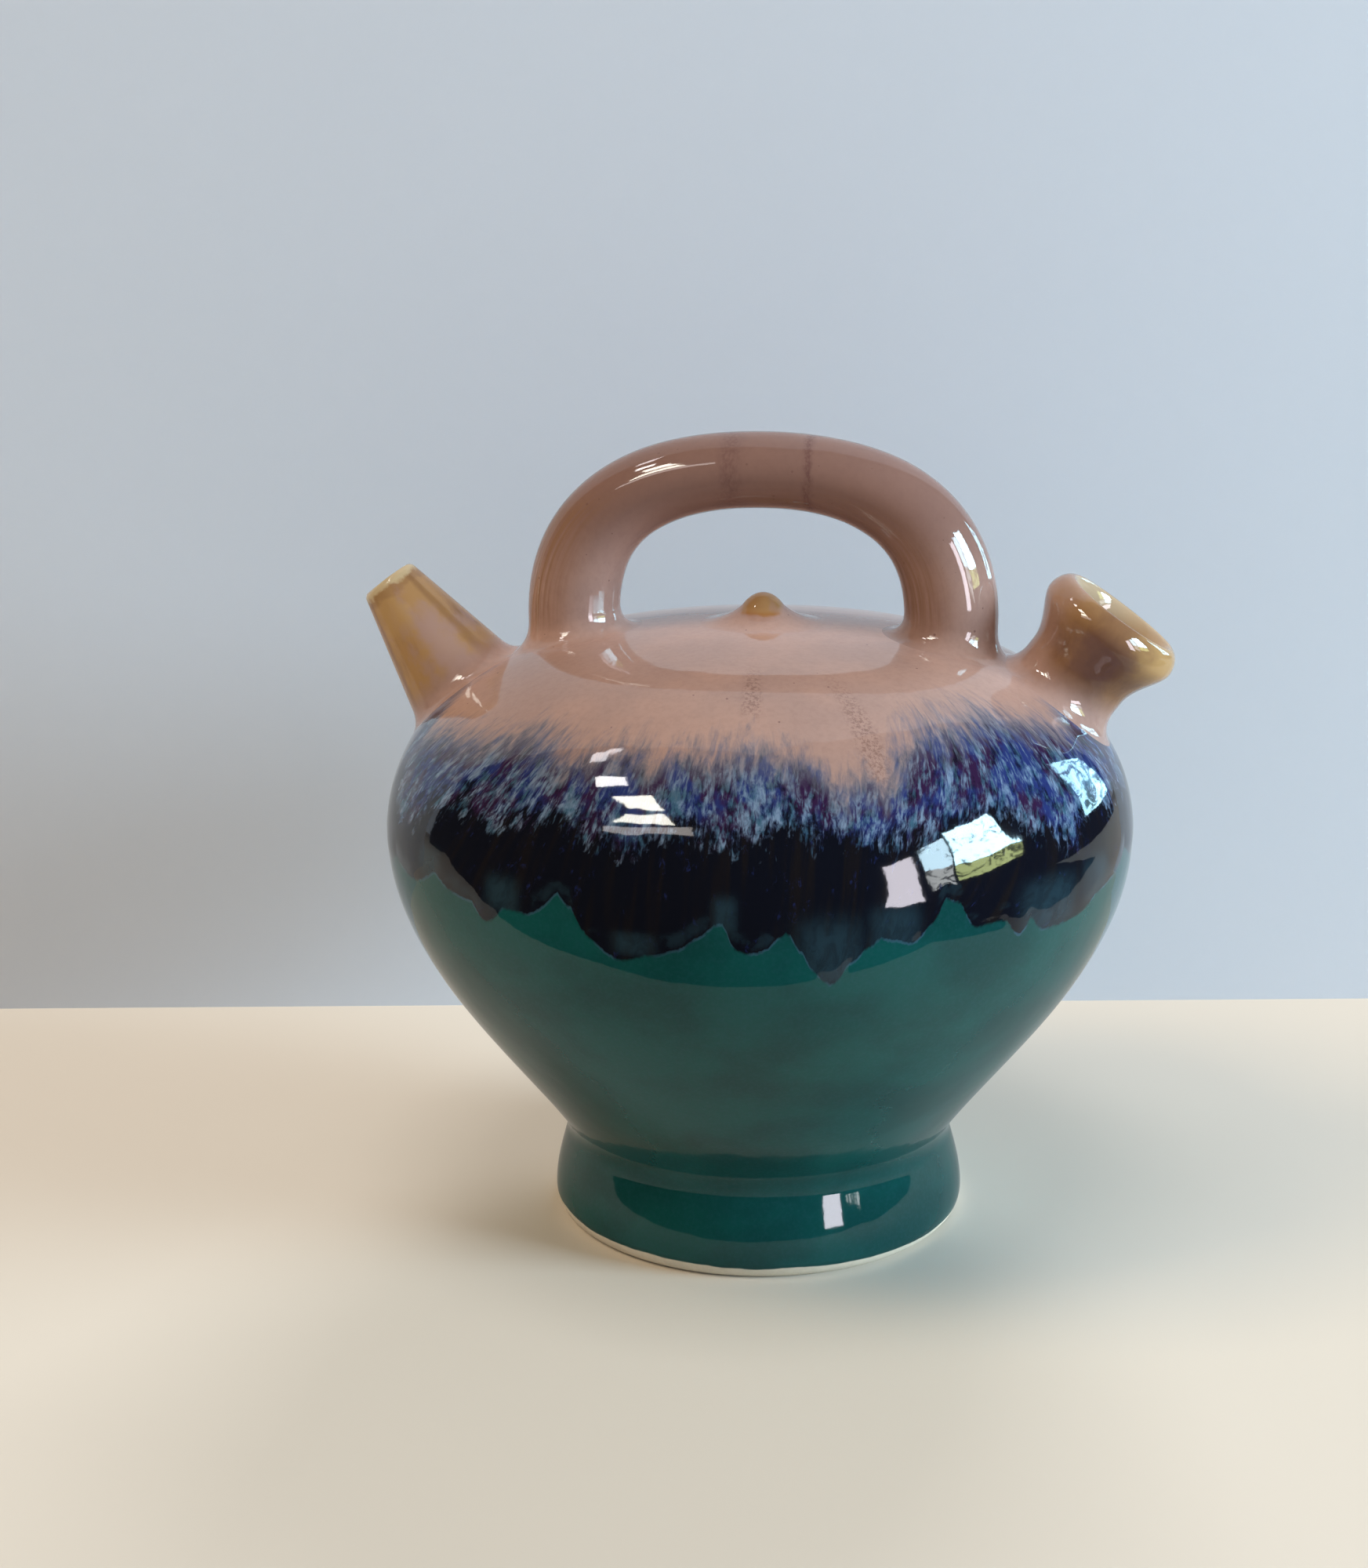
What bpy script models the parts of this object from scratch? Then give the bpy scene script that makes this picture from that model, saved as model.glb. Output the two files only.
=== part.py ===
"""Round water jug of glazed stoneware with a basket handle over its closed top.

The jug is made the way a potter makes it: a thrown bowl and a thrown dome
joined at the belly, a foot ring under the bowl, and a pulled handle, a cone
spout, a collared filling mouth and a small nub set on the dome. A hole is cut
through the dome under the spout and under the mouth.

The turning axis is the Z axis and the foot stands at z = 0. The spout leans to
-X and the mouth to +X, and the handle runs over the top between them.
"""

import math

import bmesh
import bpy
from mathutils import Matrix, Vector

# Body, in metres.
BELLY_RADIUS = 0.0892
BELLY_HEIGHT = 0.0958
CREASE_RADIUS = 0.0481
CREASE_HEIGHT = 0.0232
FLANK_SLOPE = math.radians(56.3)
FLANK_PULL = 0.0246
BELLY_PULL_DOWN = 0.0269
BELLY_PULL_UP = 0.0284
SHOULDER_RADIUS = 0.044
SHOULDER_HEIGHT = 0.1420
SHOULDER_SLOPE = math.radians(10)
SHOULDER_PULL = 0.021
CROWN_HEIGHT = 0.1459
BOWL_WALL = 0.0050
DOME_WALL = 0.0045
FLOOR_HEIGHT = 0.0130
FLOOR_THICKNESS = 0.0065

# Foot ring.
FOOT_RADIUS = 0.0502
FOOT_WIDEST_HEIGHT = 0.0099
FOOT_BASE_RADIUS = 0.0470
FOOT_INNER_RADIUS = 0.0390
FOOT_EDGE_ROUND = 0.0012

# Basket handle.
HANDLE_LEG_SPREAD = 0.0448
HANDLE_TOP_HEIGHT = 0.1810
HANDLE_SPRING_HEIGHT = 0.1463
HANDLE_LEG_PULL = 0.0219
HANDLE_TOP_PULL = 0.0300
HANDLE_TOP_THICKNESS = 0.0180
HANDLE_LEG_THICKNESS = 0.0222
HANDLE_DEPTH = 0.0220
HANDLE_ROOT = 0.0055
HANDLE_OFF_CENTRE = 0.0005

# Drinking spout.
SPOUT_SEAT_INSET = 0.0165
SPOUT_SEAT_RADIUS = BELLY_RADIUS - SPOUT_SEAT_INSET
SPOUT_LEAN = math.radians(54.3)
SPOUT_LENGTH = 0.0300
SPOUT_TIP_RADIUS = 0.0069
SPOUT_TAPER = math.radians(13.6)
SPOUT_BORE_RADIUS = 0.0033
SPOUT_HOLE_RADIUS = 0.0078
SPOUT_RIM_ROUND = 0.0012
SPOUT_ROOT = 0.0030

# Filling mouth.
MOUTH_SEAT_INSET = 0.0179
MOUTH_SEAT_RADIUS = BELLY_RADIUS - MOUTH_SEAT_INSET
MOUTH_LEAN = math.radians(54.2)
MOUTH_LENGTH = 0.0229
MOUTH_WAIST_RADIUS = 0.0127
MOUTH_WAIST_LENGTH = 0.0058
MOUTH_LIP_RADIUS = 0.0173
MOUTH_LIP_LENGTH = 0.0179
MOUTH_RIM_RADIUS = 0.0138
MOUTH_BORE_RADIUS = 0.0100
MOUTH_ROOT = 0.0050

# Closing nub on the crown.
NUB_RADIUS = 0.0048
NUB_HEIGHT = 0.0067
NUB_FLARE_RADIUS = 0.0120
NUB_OFF_CENTRE = 0.0011

# Clearance between pieces that seat on each other.
SEAT_GAP = 0.0003
# How far a seated piece is drawn on below its seat before it is trimmed.
SEAT_DEPTH = 0.0070

# Fineness.
BODY_SEGMENTS = 60
HANDLE_SEGMENTS = 20
SPOUT_SEGMENTS = 32
MOUTH_SEGMENTS = 36
NUB_SEGMENTS = 24

GLAZE_ROUGHNESS = 0.08
TEAL = (0.010, 0.130, 0.110)
MAUVE = (0.420, 0.270, 0.215)
TAUPE = (0.330, 0.200, 0.150)
AMBER = (0.430, 0.230, 0.060)


def clear_scene():
    """Remove whatever the scene holds."""
    for item in list(bpy.data.objects):
        bpy.data.objects.remove(item, do_unlink=True)


def bezier(start, pull_start, pull_end, end, steps):
    """Points of a cubic curve, both ends included."""
    points = []
    for step in range(steps + 1):
        t = step / steps
        s = 1 - t
        weights = (s**3, 3 * s * s * t, 3 * s * t * t, t**3)
        corners = (start, pull_start, pull_end, end)
        points.append(tuple(sum(w * c[k] for w, c in zip(weights, corners)) for k in (0, 1)))
    return points


def offset(outline, distance):
    """The outline moved to its right-hand side, seen along its direction."""
    moved = []
    last = len(outline) - 1
    for index, (r, z) in enumerate(outline):
        before = outline[max(index - 1, 0)]
        after = outline[min(index + 1, last)]
        dr, dz = after[0] - before[0], after[1] - before[1]
        length = math.hypot(dr, dz)
        new_r = r + distance * dz / length
        moved.append((0.0 if r == 0 else new_r, z - distance * dr / length))
    return moved


def height_at(outline, radius):
    """Height of a drawn outline where it crosses a radius."""
    for (r0, z0), (r1, z1) in zip(outline, outline[1:]):
        if min(r0, r1) <= radius <= max(r0, r1) and r0 != r1:
            return z0 + (z1 - z0) * (radius - r0) / (r1 - r0)
    raise ValueError("the outline does not reach that radius")


def underside():
    """Outside of the bowl from its middle to the crease over the foot."""
    pull = (CREASE_HEIGHT - FLOOR_HEIGHT) * 0.75
    return bezier(
        (0.0, FLOOR_HEIGHT),
        (CREASE_RADIUS * 0.5, FLOOR_HEIGHT),
        (CREASE_RADIUS - pull * math.cos(FLANK_SLOPE), CREASE_HEIGHT - pull * math.sin(FLANK_SLOPE)),
        (CREASE_RADIUS, CREASE_HEIGHT),
        5,
    )


def flank():
    """Outside of the bowl from the crease to the belly."""
    return bezier(
        (CREASE_RADIUS, CREASE_HEIGHT),
        (
            CREASE_RADIUS + FLANK_PULL * math.cos(FLANK_SLOPE),
            CREASE_HEIGHT + FLANK_PULL * math.sin(FLANK_SLOPE),
        ),
        (BELLY_RADIUS, BELLY_HEIGHT - BELLY_PULL_DOWN),
        (BELLY_RADIUS, BELLY_HEIGHT),
        8,
    )


def dome():
    """Outside of the dome from the belly over the shoulder to the crown."""
    shoulder = bezier(
        (BELLY_RADIUS, BELLY_HEIGHT),
        (BELLY_RADIUS, BELLY_HEIGHT + BELLY_PULL_UP),
        (
            SHOULDER_RADIUS + SHOULDER_PULL * math.cos(SHOULDER_SLOPE),
            SHOULDER_HEIGHT - SHOULDER_PULL * math.sin(SHOULDER_SLOPE),
        ),
        (SHOULDER_RADIUS, SHOULDER_HEIGHT),
        10,
    )
    crown = bezier(
        (SHOULDER_RADIUS, SHOULDER_HEIGHT),
        (SHOULDER_RADIUS * 2 / 3, SHOULDER_HEIGHT + SHOULDER_RADIUS / 3 * math.tan(SHOULDER_SLOPE)),
        (SHOULDER_RADIUS / 3, CROWN_HEIGHT),
        (0.0, CROWN_HEIGHT),
        3,
    )
    return shoulder + crown[1:]


def height_over_dome(point):
    """How far a point stands off the outside of the dome; below zero inside it."""
    outline = dome()
    spot = Vector((math.hypot(point.x, point.y), point.z))
    nearest = None
    for start, end in zip(outline, outline[1:]):
        start, along = Vector(start), Vector(end) - Vector(start)
        share = max(0.0, min(1.0, (spot - start).dot(along) / along.length_squared))
        gap = spot - (start + share * along)
        side = along.x * gap.y - along.y * gap.x
        if nearest is None or gap.length < abs(nearest):
            nearest = math.copysign(gap.length, -side)
    return nearest


def root_flare(height, reach):
    """Extra radius of a root fillet at a height over the dome."""
    if height >= reach:
        return 0.0
    depth = 1 - max(height, 0.0) / reach
    return reach * (1 - math.sqrt(1 - min(depth, 0.98) ** 2))


def glaze(name, colour):
    """A glossy glaze of one colour."""
    material = bpy.data.materials.new(name)
    material.use_nodes = True
    shader = material.node_tree.nodes["Principled BSDF"]
    shader.inputs["Base Color"].default_value = (*colour, 1.0)
    shader.inputs["Roughness"].default_value = GLAZE_ROUGHNESS
    shader.inputs["Metallic"].default_value = 0.0
    return material


def add_piece(name, bm, colour, carrier):
    """Close a bmesh into a smooth-shaded object carried by the jug's empty."""
    bmesh.ops.recalc_face_normals(bm, faces=bm.faces)
    mesh = bpy.data.meshes.new(name)
    bm.to_mesh(mesh)
    bm.free()
    piece = bpy.data.objects.new(name, mesh)
    bpy.context.scene.collection.objects.link(piece)
    piece.parent = carrier
    mesh.shade_smooth()
    mesh.set_sharp_from_angle(angle=math.radians(35))
    mesh.materials.append(glaze(name, colour))
    return piece


def add_cutter(name, bm, carrier):
    """A helper solid that only shapes other pieces."""
    cutter = add_piece(name, bm, MAUVE, carrier)
    cutter.hide_render = True
    cutter.display_type = "WIRE"
    return cutter


def cut(piece, cutter):
    """Take a helper solid away from a piece."""
    boolean = piece.modifiers.new("cut_by_" + cutter.name, "BOOLEAN")
    boolean.operation = "DIFFERENCE"
    boolean.solver = "EXACT"
    boolean.object = cutter


def turned(outline, segments, closed=False):
    """Turn an outline of (radius, height) points about the Z axis."""
    bm = bmesh.new()
    verts = [bm.verts.new((r, 0.0, z)) for r, z in outline]
    edges = [bm.edges.new(pair) for pair in zip(verts, verts[1:])]
    if closed:
        edges.append(bm.edges.new((verts[-1], verts[0])))
    bmesh.ops.spin(
        bm, geom=verts + edges, cent=(0, 0, 0), axis=(0, 0, 1), angle=math.tau, steps=segments
    )
    bmesh.ops.remove_doubles(bm, verts=bm.verts, dist=0.00001)
    return bm


def lofted(rings, closed=False):
    """Skin a row of rings, with flat caps or with the last ring joined to the first."""
    bm = bmesh.new()
    rows = [[bm.verts.new(point) for point in ring] for ring in rings]
    pairs = list(zip(rows, rows[1:]))
    if closed:
        pairs.append((rows[-1], rows[0]))
    else:
        bm.faces.new(rows[0])
        bm.faces.new(rows[-1])
    for lower, upper in pairs:
        for k in range(len(lower)):
            n = (k + 1) % len(lower)
            bm.faces.new((lower[k], lower[n], upper[n], upper[k]))
    return bm


def round_ring(centre, across, upward, radius_across, radius_upward, segments):
    """Points of an oval ring in the plane of two directions."""
    ring = []
    for k in range(segments):
        angle = math.tau * k / segments
        ring.append(
            centre
            + across * radius_across * math.cos(angle)
            + upward * radius_upward * math.sin(angle)
        )
    return ring


def make_foot_ring(carrier):
    """Ring that the jug stands on, seated against the bowl's underside."""
    outer = bezier(
        (FOOT_BASE_RADIUS, 0.0),
        (FOOT_BASE_RADIUS + 0.6 * (FOOT_RADIUS - FOOT_BASE_RADIUS), 0.2 * FOOT_WIDEST_HEIGHT),
        (FOOT_RADIUS, 0.55 * FOOT_WIDEST_HEIGHT),
        (FOOT_RADIUS, FOOT_WIDEST_HEIGHT),
        4,
    )
    seat = offset(underside(), SEAT_GAP)
    neck = height_at(seat, CREASE_RADIUS - SEAT_GAP)
    rise = neck - FOOT_WIDEST_HEIGHT
    outer += bezier(
        (FOOT_RADIUS, FOOT_WIDEST_HEIGHT),
        (FOOT_RADIUS, FOOT_WIDEST_HEIGHT + 0.35 * rise),
        (CREASE_RADIUS + 0.35 * (FOOT_RADIUS - CREASE_RADIUS), neck - 0.3 * rise),
        (CREASE_RADIUS - SEAT_GAP, neck),
        4,
    )[1:]
    widest = CREASE_RADIUS - 2 * SEAT_GAP
    under = [point for point in reversed(seat) if FOOT_INNER_RADIUS < point[0] < widest]
    inner = [
        (FOOT_INNER_RADIUS, height_at(seat, FOOT_INNER_RADIUS)),
        (FOOT_INNER_RADIUS, FOOT_EDGE_ROUND),
        (FOOT_INNER_RADIUS + FOOT_EDGE_ROUND, 0.0),
    ]
    return add_piece("foot_ring", turned(outer + under + inner, BODY_SEGMENTS, True), TEAL, carrier)


def make_lower_body(carrier):
    """Thrown bowl with its floor, up to the luting line at the belly."""
    outside = underside() + flank()[1:]
    inside = [
        point
        for point in offset(outside, -BOWL_WALL)
        if point[0] > CREASE_RADIUS - BOWL_WALL and point[1] > CREASE_HEIGHT
    ]
    inside[-1] = (BELLY_RADIUS - BOWL_WALL, BELLY_HEIGHT)
    floor_top = FLOOR_HEIGHT + FLOOR_THICKNESS
    well = bezier(
        inside[0],
        (inside[0][0] - 0.5 * (inside[0][1] - floor_top), floor_top),
        (inside[0][0] * 0.5, floor_top),
        (0.0, floor_top),
        4,
    )
    outline = outside + list(reversed(inside)) + well[1:]
    return add_piece("lower_body", turned(outline, BODY_SEGMENTS), TEAL, carrier)


def make_upper_body(carrier):
    """Thrown dome that closes the jug, from the luting line to the crown."""
    outside = dome()
    inside = offset(outside, -DOME_WALL)
    seat_height = BELLY_HEIGHT + SEAT_GAP
    outside[0] = (BELLY_RADIUS, seat_height)
    inside[0] = (BELLY_RADIUS - DOME_WALL, seat_height)
    inside[-1] = (0.0, CROWN_HEIGHT - DOME_WALL)
    outline = list(reversed(inside)) + outside
    return add_piece("upper_body", turned(outline, BODY_SEGMENTS), MAUVE, carrier)


def make_dome_envelope(carrier):
    """The dome's outside with the seat clearance added, to trim what sits on it."""
    outline = offset(dome(), SEAT_GAP)
    outline[0] = (BELLY_RADIUS + SEAT_GAP, BELLY_HEIGHT)
    outline[-1] = (0.0, CROWN_HEIGHT + SEAT_GAP)
    outline = [(0.0, BELLY_HEIGHT)] + outline
    return add_cutter("dome_envelope", turned(outline, BODY_SEGMENTS), carrier)


def handle_rings(grow=0.0):
    """Oval sections along the handle, from the spout's side to the mouth's side."""
    half = bezier(
        (HANDLE_LEG_SPREAD, HANDLE_SPRING_HEIGHT),
        (HANDLE_LEG_SPREAD, HANDLE_SPRING_HEIGHT + HANDLE_LEG_PULL),
        (HANDLE_TOP_PULL, HANDLE_TOP_HEIGHT),
        (0.0, HANDLE_TOP_HEIGHT),
        10,
    )
    seat = height_at(dome(), HANDLE_LEG_SPREAD)
    root_top = seat + 2 * HANDLE_ROOT
    steps = 12
    leg = [
        (HANDLE_LEG_SPREAD, seat - SEAT_DEPTH + (root_top - seat + SEAT_DEPTH) * step / steps)
        for step in range(steps + 1)
    ]
    path = [point for point in leg if point[1] < HANDLE_SPRING_HEIGHT - HANDLE_ROOT / 4] + half
    path = [(-x, z) for x, z in path] + list(reversed(path))[1:]
    rings = []
    last = len(path) - 1
    for index, (x, z) in enumerate(path):
        before = Vector(path[max(index - 1, 0)])
        after = Vector(path[min(index + 1, last)])
        along = (after - before).normalized()
        across = Vector((-along.y, 0.0, along.x))
        rise = (z - HANDLE_SPRING_HEIGHT) / (HANDLE_TOP_HEIGHT - HANDLE_SPRING_HEIGHT)
        ease = max(0.0, min(1.0, rise)) ** 2
        thickness = HANDLE_LEG_THICKNESS + (HANDLE_TOP_THICKNESS - HANDLE_LEG_THICKNESS) * ease
        centre = Vector((x + HANDLE_OFF_CENTRE, 0.0, z))
        ring = round_ring(
            centre,
            across,
            Vector((0.0, 1.0, 0.0)),
            thickness / 2 + grow,
            HANDLE_DEPTH / 2 + grow,
            HANDLE_SEGMENTS,
        )
        rings.append([flared(point, centre, HANDLE_ROOT) for point in ring])
    return rings


def flared(point, centre, reach):
    """A point of a ring, pushed outward where the ring nears the dome."""
    outward = (point - centre).normalized()
    return point + outward * root_flare(height_over_dome(point), reach)


def make_handle(carrier, envelope):
    """Pulled basket handle, both feet on the dome."""
    handle = add_piece("handle", lofted(handle_rings()), TAUPE, carrier)
    cut(handle, envelope)
    return handle


def leaning_axis(seat_radius, lean, side):
    """Seat point and direction of a neck that leans outward to one side."""
    seat = Vector((side * seat_radius, 0.0, height_at(dome(), seat_radius)))
    return seat, Vector((side * math.cos(lean), 0.0, math.sin(lean)))


def make_neck(name, outside, bore, seat, axis, root, segments, colour, carrier):
    """Hollow neck turned about a leaning axis from outside and bore outlines."""
    sideways = Vector((0.0, 1.0, 0.0))
    upward = sideways.cross(axis)
    rings = []
    for radius, length in outside:
        centre = seat + axis * length
        ring = round_ring(centre, sideways, upward, radius, radius, segments)
        rings.append([flared(point, centre, root) for point in ring])
    for radius, length in bore:
        rings.append(round_ring(seat + axis * length, sideways, upward, radius, radius, segments))
    return add_piece(name, lofted(rings, True), colour, carrier)


def make_hole(name, radius, seat, axis, carrier):
    """Cutter for the hole through the dome under a neck."""
    sideways = Vector((0.0, 1.0, 0.0))
    upward = sideways.cross(axis)
    rings = [
        round_ring(seat + axis * length, sideways, upward, radius, radius, SPOUT_SEGMENTS)
        for length in (-4 * DOME_WALL, 4 * DOME_WALL)
    ]
    return add_cutter(name, lofted(rings), carrier)


def root_lengths(reach, top):
    """Stations along a neck, close together where its root flares."""
    steps = 9
    bottom = -SEAT_DEPTH - reach
    return [bottom + (top - bottom) * step / steps for step in range(steps + 1)]


def make_drinking_spout(carrier):
    """Straight cone spout with a narrow bore."""
    seat, axis = leaning_axis(SPOUT_SEAT_RADIUS, SPOUT_LEAN, -1)
    widen = math.tan(SPOUT_TAPER)
    stations = root_lengths(SPOUT_ROOT, 3 * SPOUT_ROOT)
    outside = [(SPOUT_TIP_RADIUS + (SPOUT_LENGTH - s) * widen, s) for s in stations]
    outside += [
        (SPOUT_TIP_RADIUS + SPOUT_RIM_ROUND * widen, SPOUT_LENGTH - SPOUT_RIM_ROUND),
        (SPOUT_TIP_RADIUS - 0.3 * SPOUT_RIM_ROUND, SPOUT_LENGTH - 0.3 * SPOUT_RIM_ROUND),
        (SPOUT_TIP_RADIUS - SPOUT_RIM_ROUND, SPOUT_LENGTH),
    ]
    widest = SPOUT_HOLE_RADIUS + SEAT_DEPTH * widen
    bore = [
        (SPOUT_BORE_RADIUS + SPOUT_RIM_ROUND / 2, SPOUT_LENGTH),
        (SPOUT_BORE_RADIUS, SPOUT_LENGTH - SPOUT_RIM_ROUND),
        (SPOUT_HOLE_RADIUS, 0.0),
        (widest, outside[0][1]),
    ]
    spout = make_neck(
        "drinking_spout", outside, bore, seat, axis, SPOUT_ROOT, SPOUT_SEGMENTS, AMBER, carrier
    )
    hole = make_hole("spout_hole", SPOUT_HOLE_RADIUS, seat, axis, carrier)
    return spout, hole


def make_filling_mouth(carrier):
    """Collared neck with a waist, a full rolled lip and a funnel inside."""
    seat, axis = leaning_axis(MOUTH_SEAT_RADIUS, MOUTH_LEAN, 1)
    outside = [(MOUTH_WAIST_RADIUS, s) for s in root_lengths(MOUTH_ROOT, MOUTH_WAIST_LENGTH)]
    flare = MOUTH_LIP_LENGTH - MOUTH_WAIST_LENGTH
    outside += bezier(
        (MOUTH_WAIST_RADIUS, MOUTH_WAIST_LENGTH),
        (MOUTH_WAIST_RADIUS, MOUTH_WAIST_LENGTH + 0.4 * flare),
        (MOUTH_LIP_RADIUS, MOUTH_LIP_LENGTH - 0.25 * flare),
        (MOUTH_LIP_RADIUS, MOUTH_LIP_LENGTH),
        6,
    )[1:]
    roll = MOUTH_LENGTH - MOUTH_LIP_LENGTH
    outside += bezier(
        (MOUTH_LIP_RADIUS, MOUTH_LIP_LENGTH),
        (MOUTH_LIP_RADIUS, MOUTH_LIP_LENGTH + 0.55 * roll),
        (MOUTH_RIM_RADIUS + 0.45 * (MOUTH_LIP_RADIUS - MOUTH_RIM_RADIUS), MOUTH_LENGTH),
        (MOUTH_RIM_RADIUS, MOUTH_LENGTH),
        5,
    )[1:]
    bore = bezier(
        (MOUTH_RIM_RADIUS, MOUTH_LENGTH),
        (MOUTH_RIM_RADIUS - 0.0015, MOUTH_LENGTH - 0.0003),
        (MOUTH_BORE_RADIUS, MOUTH_LENGTH - 0.5 * flare),
        (MOUTH_BORE_RADIUS, MOUTH_WAIST_LENGTH),
        6,
    )[1:]
    bore.append((MOUTH_BORE_RADIUS, outside[0][1]))
    mouth = make_neck(
        "filling_mouth", outside, bore, seat, axis, MOUTH_ROOT, MOUTH_SEGMENTS, AMBER, carrier
    )
    hole = make_hole("mouth_hole", MOUTH_BORE_RADIUS, seat, axis, carrier)
    return mouth, hole


def make_top_nub(carrier, envelope):
    """Small pinched nub where the thrown dome was closed."""
    tip = CROWN_HEIGHT + NUB_HEIGHT
    shoulder = tip - 0.45 * NUB_HEIGHT
    cap = bezier(
        (0.0, tip),
        (0.55 * NUB_RADIUS, tip),
        (0.75 * NUB_RADIUS, shoulder + 0.25 * NUB_HEIGHT),
        (NUB_RADIUS, shoulder),
        5,
    )
    skirt = bezier(
        (NUB_RADIUS, shoulder),
        (NUB_RADIUS + 0.25 * NUB_HEIGHT, shoulder - 0.25 * NUB_HEIGHT),
        (NUB_RADIUS + 0.4 * (NUB_FLARE_RADIUS - NUB_RADIUS), CROWN_HEIGHT + SEAT_GAP),
        (NUB_FLARE_RADIUS, CROWN_HEIGHT),
        5,
    )
    low = CROWN_HEIGHT - SEAT_DEPTH / 2
    outline = cap + skirt[1:] + [(NUB_FLARE_RADIUS, low), (0.0, low)]
    nub = add_piece("top_nub", turned(outline, NUB_SEGMENTS), AMBER, carrier)
    nub.location.x = NUB_OFF_CENTRE
    cut(nub, envelope)
    return nub


def build_jug():
    """Make every piece of the jug under one empty."""
    clear_scene()
    jug = bpy.data.objects.new("jug", None)
    bpy.context.scene.collection.objects.link(jug)
    make_foot_ring(jug)
    make_lower_body(jug)
    upper_body = make_upper_body(jug)
    envelope = make_dome_envelope(jug)
    make_handle(jug, envelope)
    handle_room = add_cutter("handle_room", lofted(handle_rings(SEAT_GAP)), jug)
    for neck, hole in (make_drinking_spout(jug), make_filling_mouth(jug)):
        cut(neck, envelope)
        cut(neck, handle_room)
        cut(upper_body, hole)
    make_top_nub(jug, envelope)
    bpy.context.view_layer.update()


build_jug()
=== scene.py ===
"""Looks of a round glazed stoneware water jug, laid out as a Blender add-on and run as a script.

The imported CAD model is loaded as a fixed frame. Each glazed piece is made again at a
potter's fineness on the same named sizes as the CAD, rides on it and stands for its node.
Angles round the jug are in degrees from its front (-Y) towards the filling mouth (+X).
"""

import math
import random

import bpy
import numpy as np
from bpy.props import FloatProperty, FloatVectorProperty, PointerProperty
from mathutils import Matrix, Vector


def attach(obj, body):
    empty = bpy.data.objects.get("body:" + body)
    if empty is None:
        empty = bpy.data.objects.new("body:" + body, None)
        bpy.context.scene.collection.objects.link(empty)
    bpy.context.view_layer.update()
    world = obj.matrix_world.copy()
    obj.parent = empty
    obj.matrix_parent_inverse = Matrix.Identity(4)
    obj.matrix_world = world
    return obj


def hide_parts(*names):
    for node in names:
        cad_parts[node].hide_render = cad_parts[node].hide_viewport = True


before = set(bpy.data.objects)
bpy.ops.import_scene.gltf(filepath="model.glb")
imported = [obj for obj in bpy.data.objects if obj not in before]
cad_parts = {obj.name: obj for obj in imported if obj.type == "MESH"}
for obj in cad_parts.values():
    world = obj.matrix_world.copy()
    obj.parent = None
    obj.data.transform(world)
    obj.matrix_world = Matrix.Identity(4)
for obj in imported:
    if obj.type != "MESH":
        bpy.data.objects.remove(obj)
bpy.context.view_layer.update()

bl_info = {
    "name": "Glazed water jug",
    "version": (1, 0, 0),
    "blender": (4, 5, 0),
    "location": "View3D > Sidebar > Jug",
    "description": "Makes the glazed pieces of a round water jug with a basket handle",
    "category": "Object",
}

MM = 0.001
TINY = 1e-9

# Body, on the same sizes as in the CAD.
BELLY_RADIUS = 0.0892
BELLY_HEIGHT = 0.0958
CREASE_RADIUS = 0.0481
CREASE_HEIGHT = 0.0232
FLANK_SLOPE = math.radians(56.3)
FLANK_PULL = 0.0246
BELLY_PULL_DOWN = 0.0269
BELLY_PULL_UP = 0.0284
SHOULDER_RADIUS = 0.0440
SHOULDER_HEIGHT = 0.1420
SHOULDER_SLOPE = math.radians(10)
SHOULDER_PULL = 0.0210
UNDERSIDE_PULL_SHARE = 0.75
UNDERSIDE_RAISE = 0.0005
CROWN_HEIGHT = 0.1459
BOWL_WALL = 0.0050
DOME_WALL = 0.0045
FLOOR_HEIGHT = 0.0130
FLOOR_THICKNESS = 0.0065

# Foot ring, which swells lower than in the CAD and meets the bowl in a fillet.
FOOT_RADIUS = 0.0505
FOOT_WIDEST_HEIGHT = 0.0046
FOOT_TOP_RADIUS = 0.0476
FOOT_TOP_HEIGHT = 0.0188
FOOT_TOP_PULL_OUT = 0.0011
FOOT_TOP_PULL_DOWN = 0.0040
FOOT_FILLET_PULL = 0.0024
FOOT_BASE_RADIUS = 0.0480
FOOT_INNER_RADIUS = 0.0390
FOOT_INNER_OVERLAP = 0.0030
FOOT_EDGE_ROUND = 0.0010
FOOT_INSET = 0.0001

# Basket handle.
HANDLE_LEG_SPREAD = 0.0448
HANDLE_TOP_HEIGHT = 0.1810
HANDLE_SPRING_HEIGHT = 0.1463
HANDLE_LEG_PULL = 0.0219
HANDLE_TOP_PULL = 0.0300
HANDLE_TOP_THICKNESS = 0.0180
HANDLE_LEG_THICKNESS = 0.0222
HANDLE_DEPTH = 0.0220
HANDLE_OFF_CENTRE = 0.0005
HANDLE_INSET = 0.00012
HANDLE_SIDE_INSET = 0.0001
HANDLE_LEG_BELOW_SPRING = 0.0160
HANDLE_FOOT_SEARCH = 0.0260

# Drinking spout.
SPOUT_SEAT_RADIUS = 0.0727
SPOUT_LEAN = math.radians(54.3)
SPOUT_LENGTH = 0.0300
SPOUT_TIP_RADIUS = 0.0069
SPOUT_TAPER = math.radians(13.6)
SPOUT_BORE_RADIUS = 0.0033
SPOUT_HOLE_RADIUS = 0.0078
SPOUT_RIM_ROUND = 0.0012
SPOUT_INSET = 0.00008
SPOUT_BORE_PULLS = ((0.0063, 0.0096), (0.0048, 0.0192))
SPOUT_RIM_WAVE = 0.00012

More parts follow.
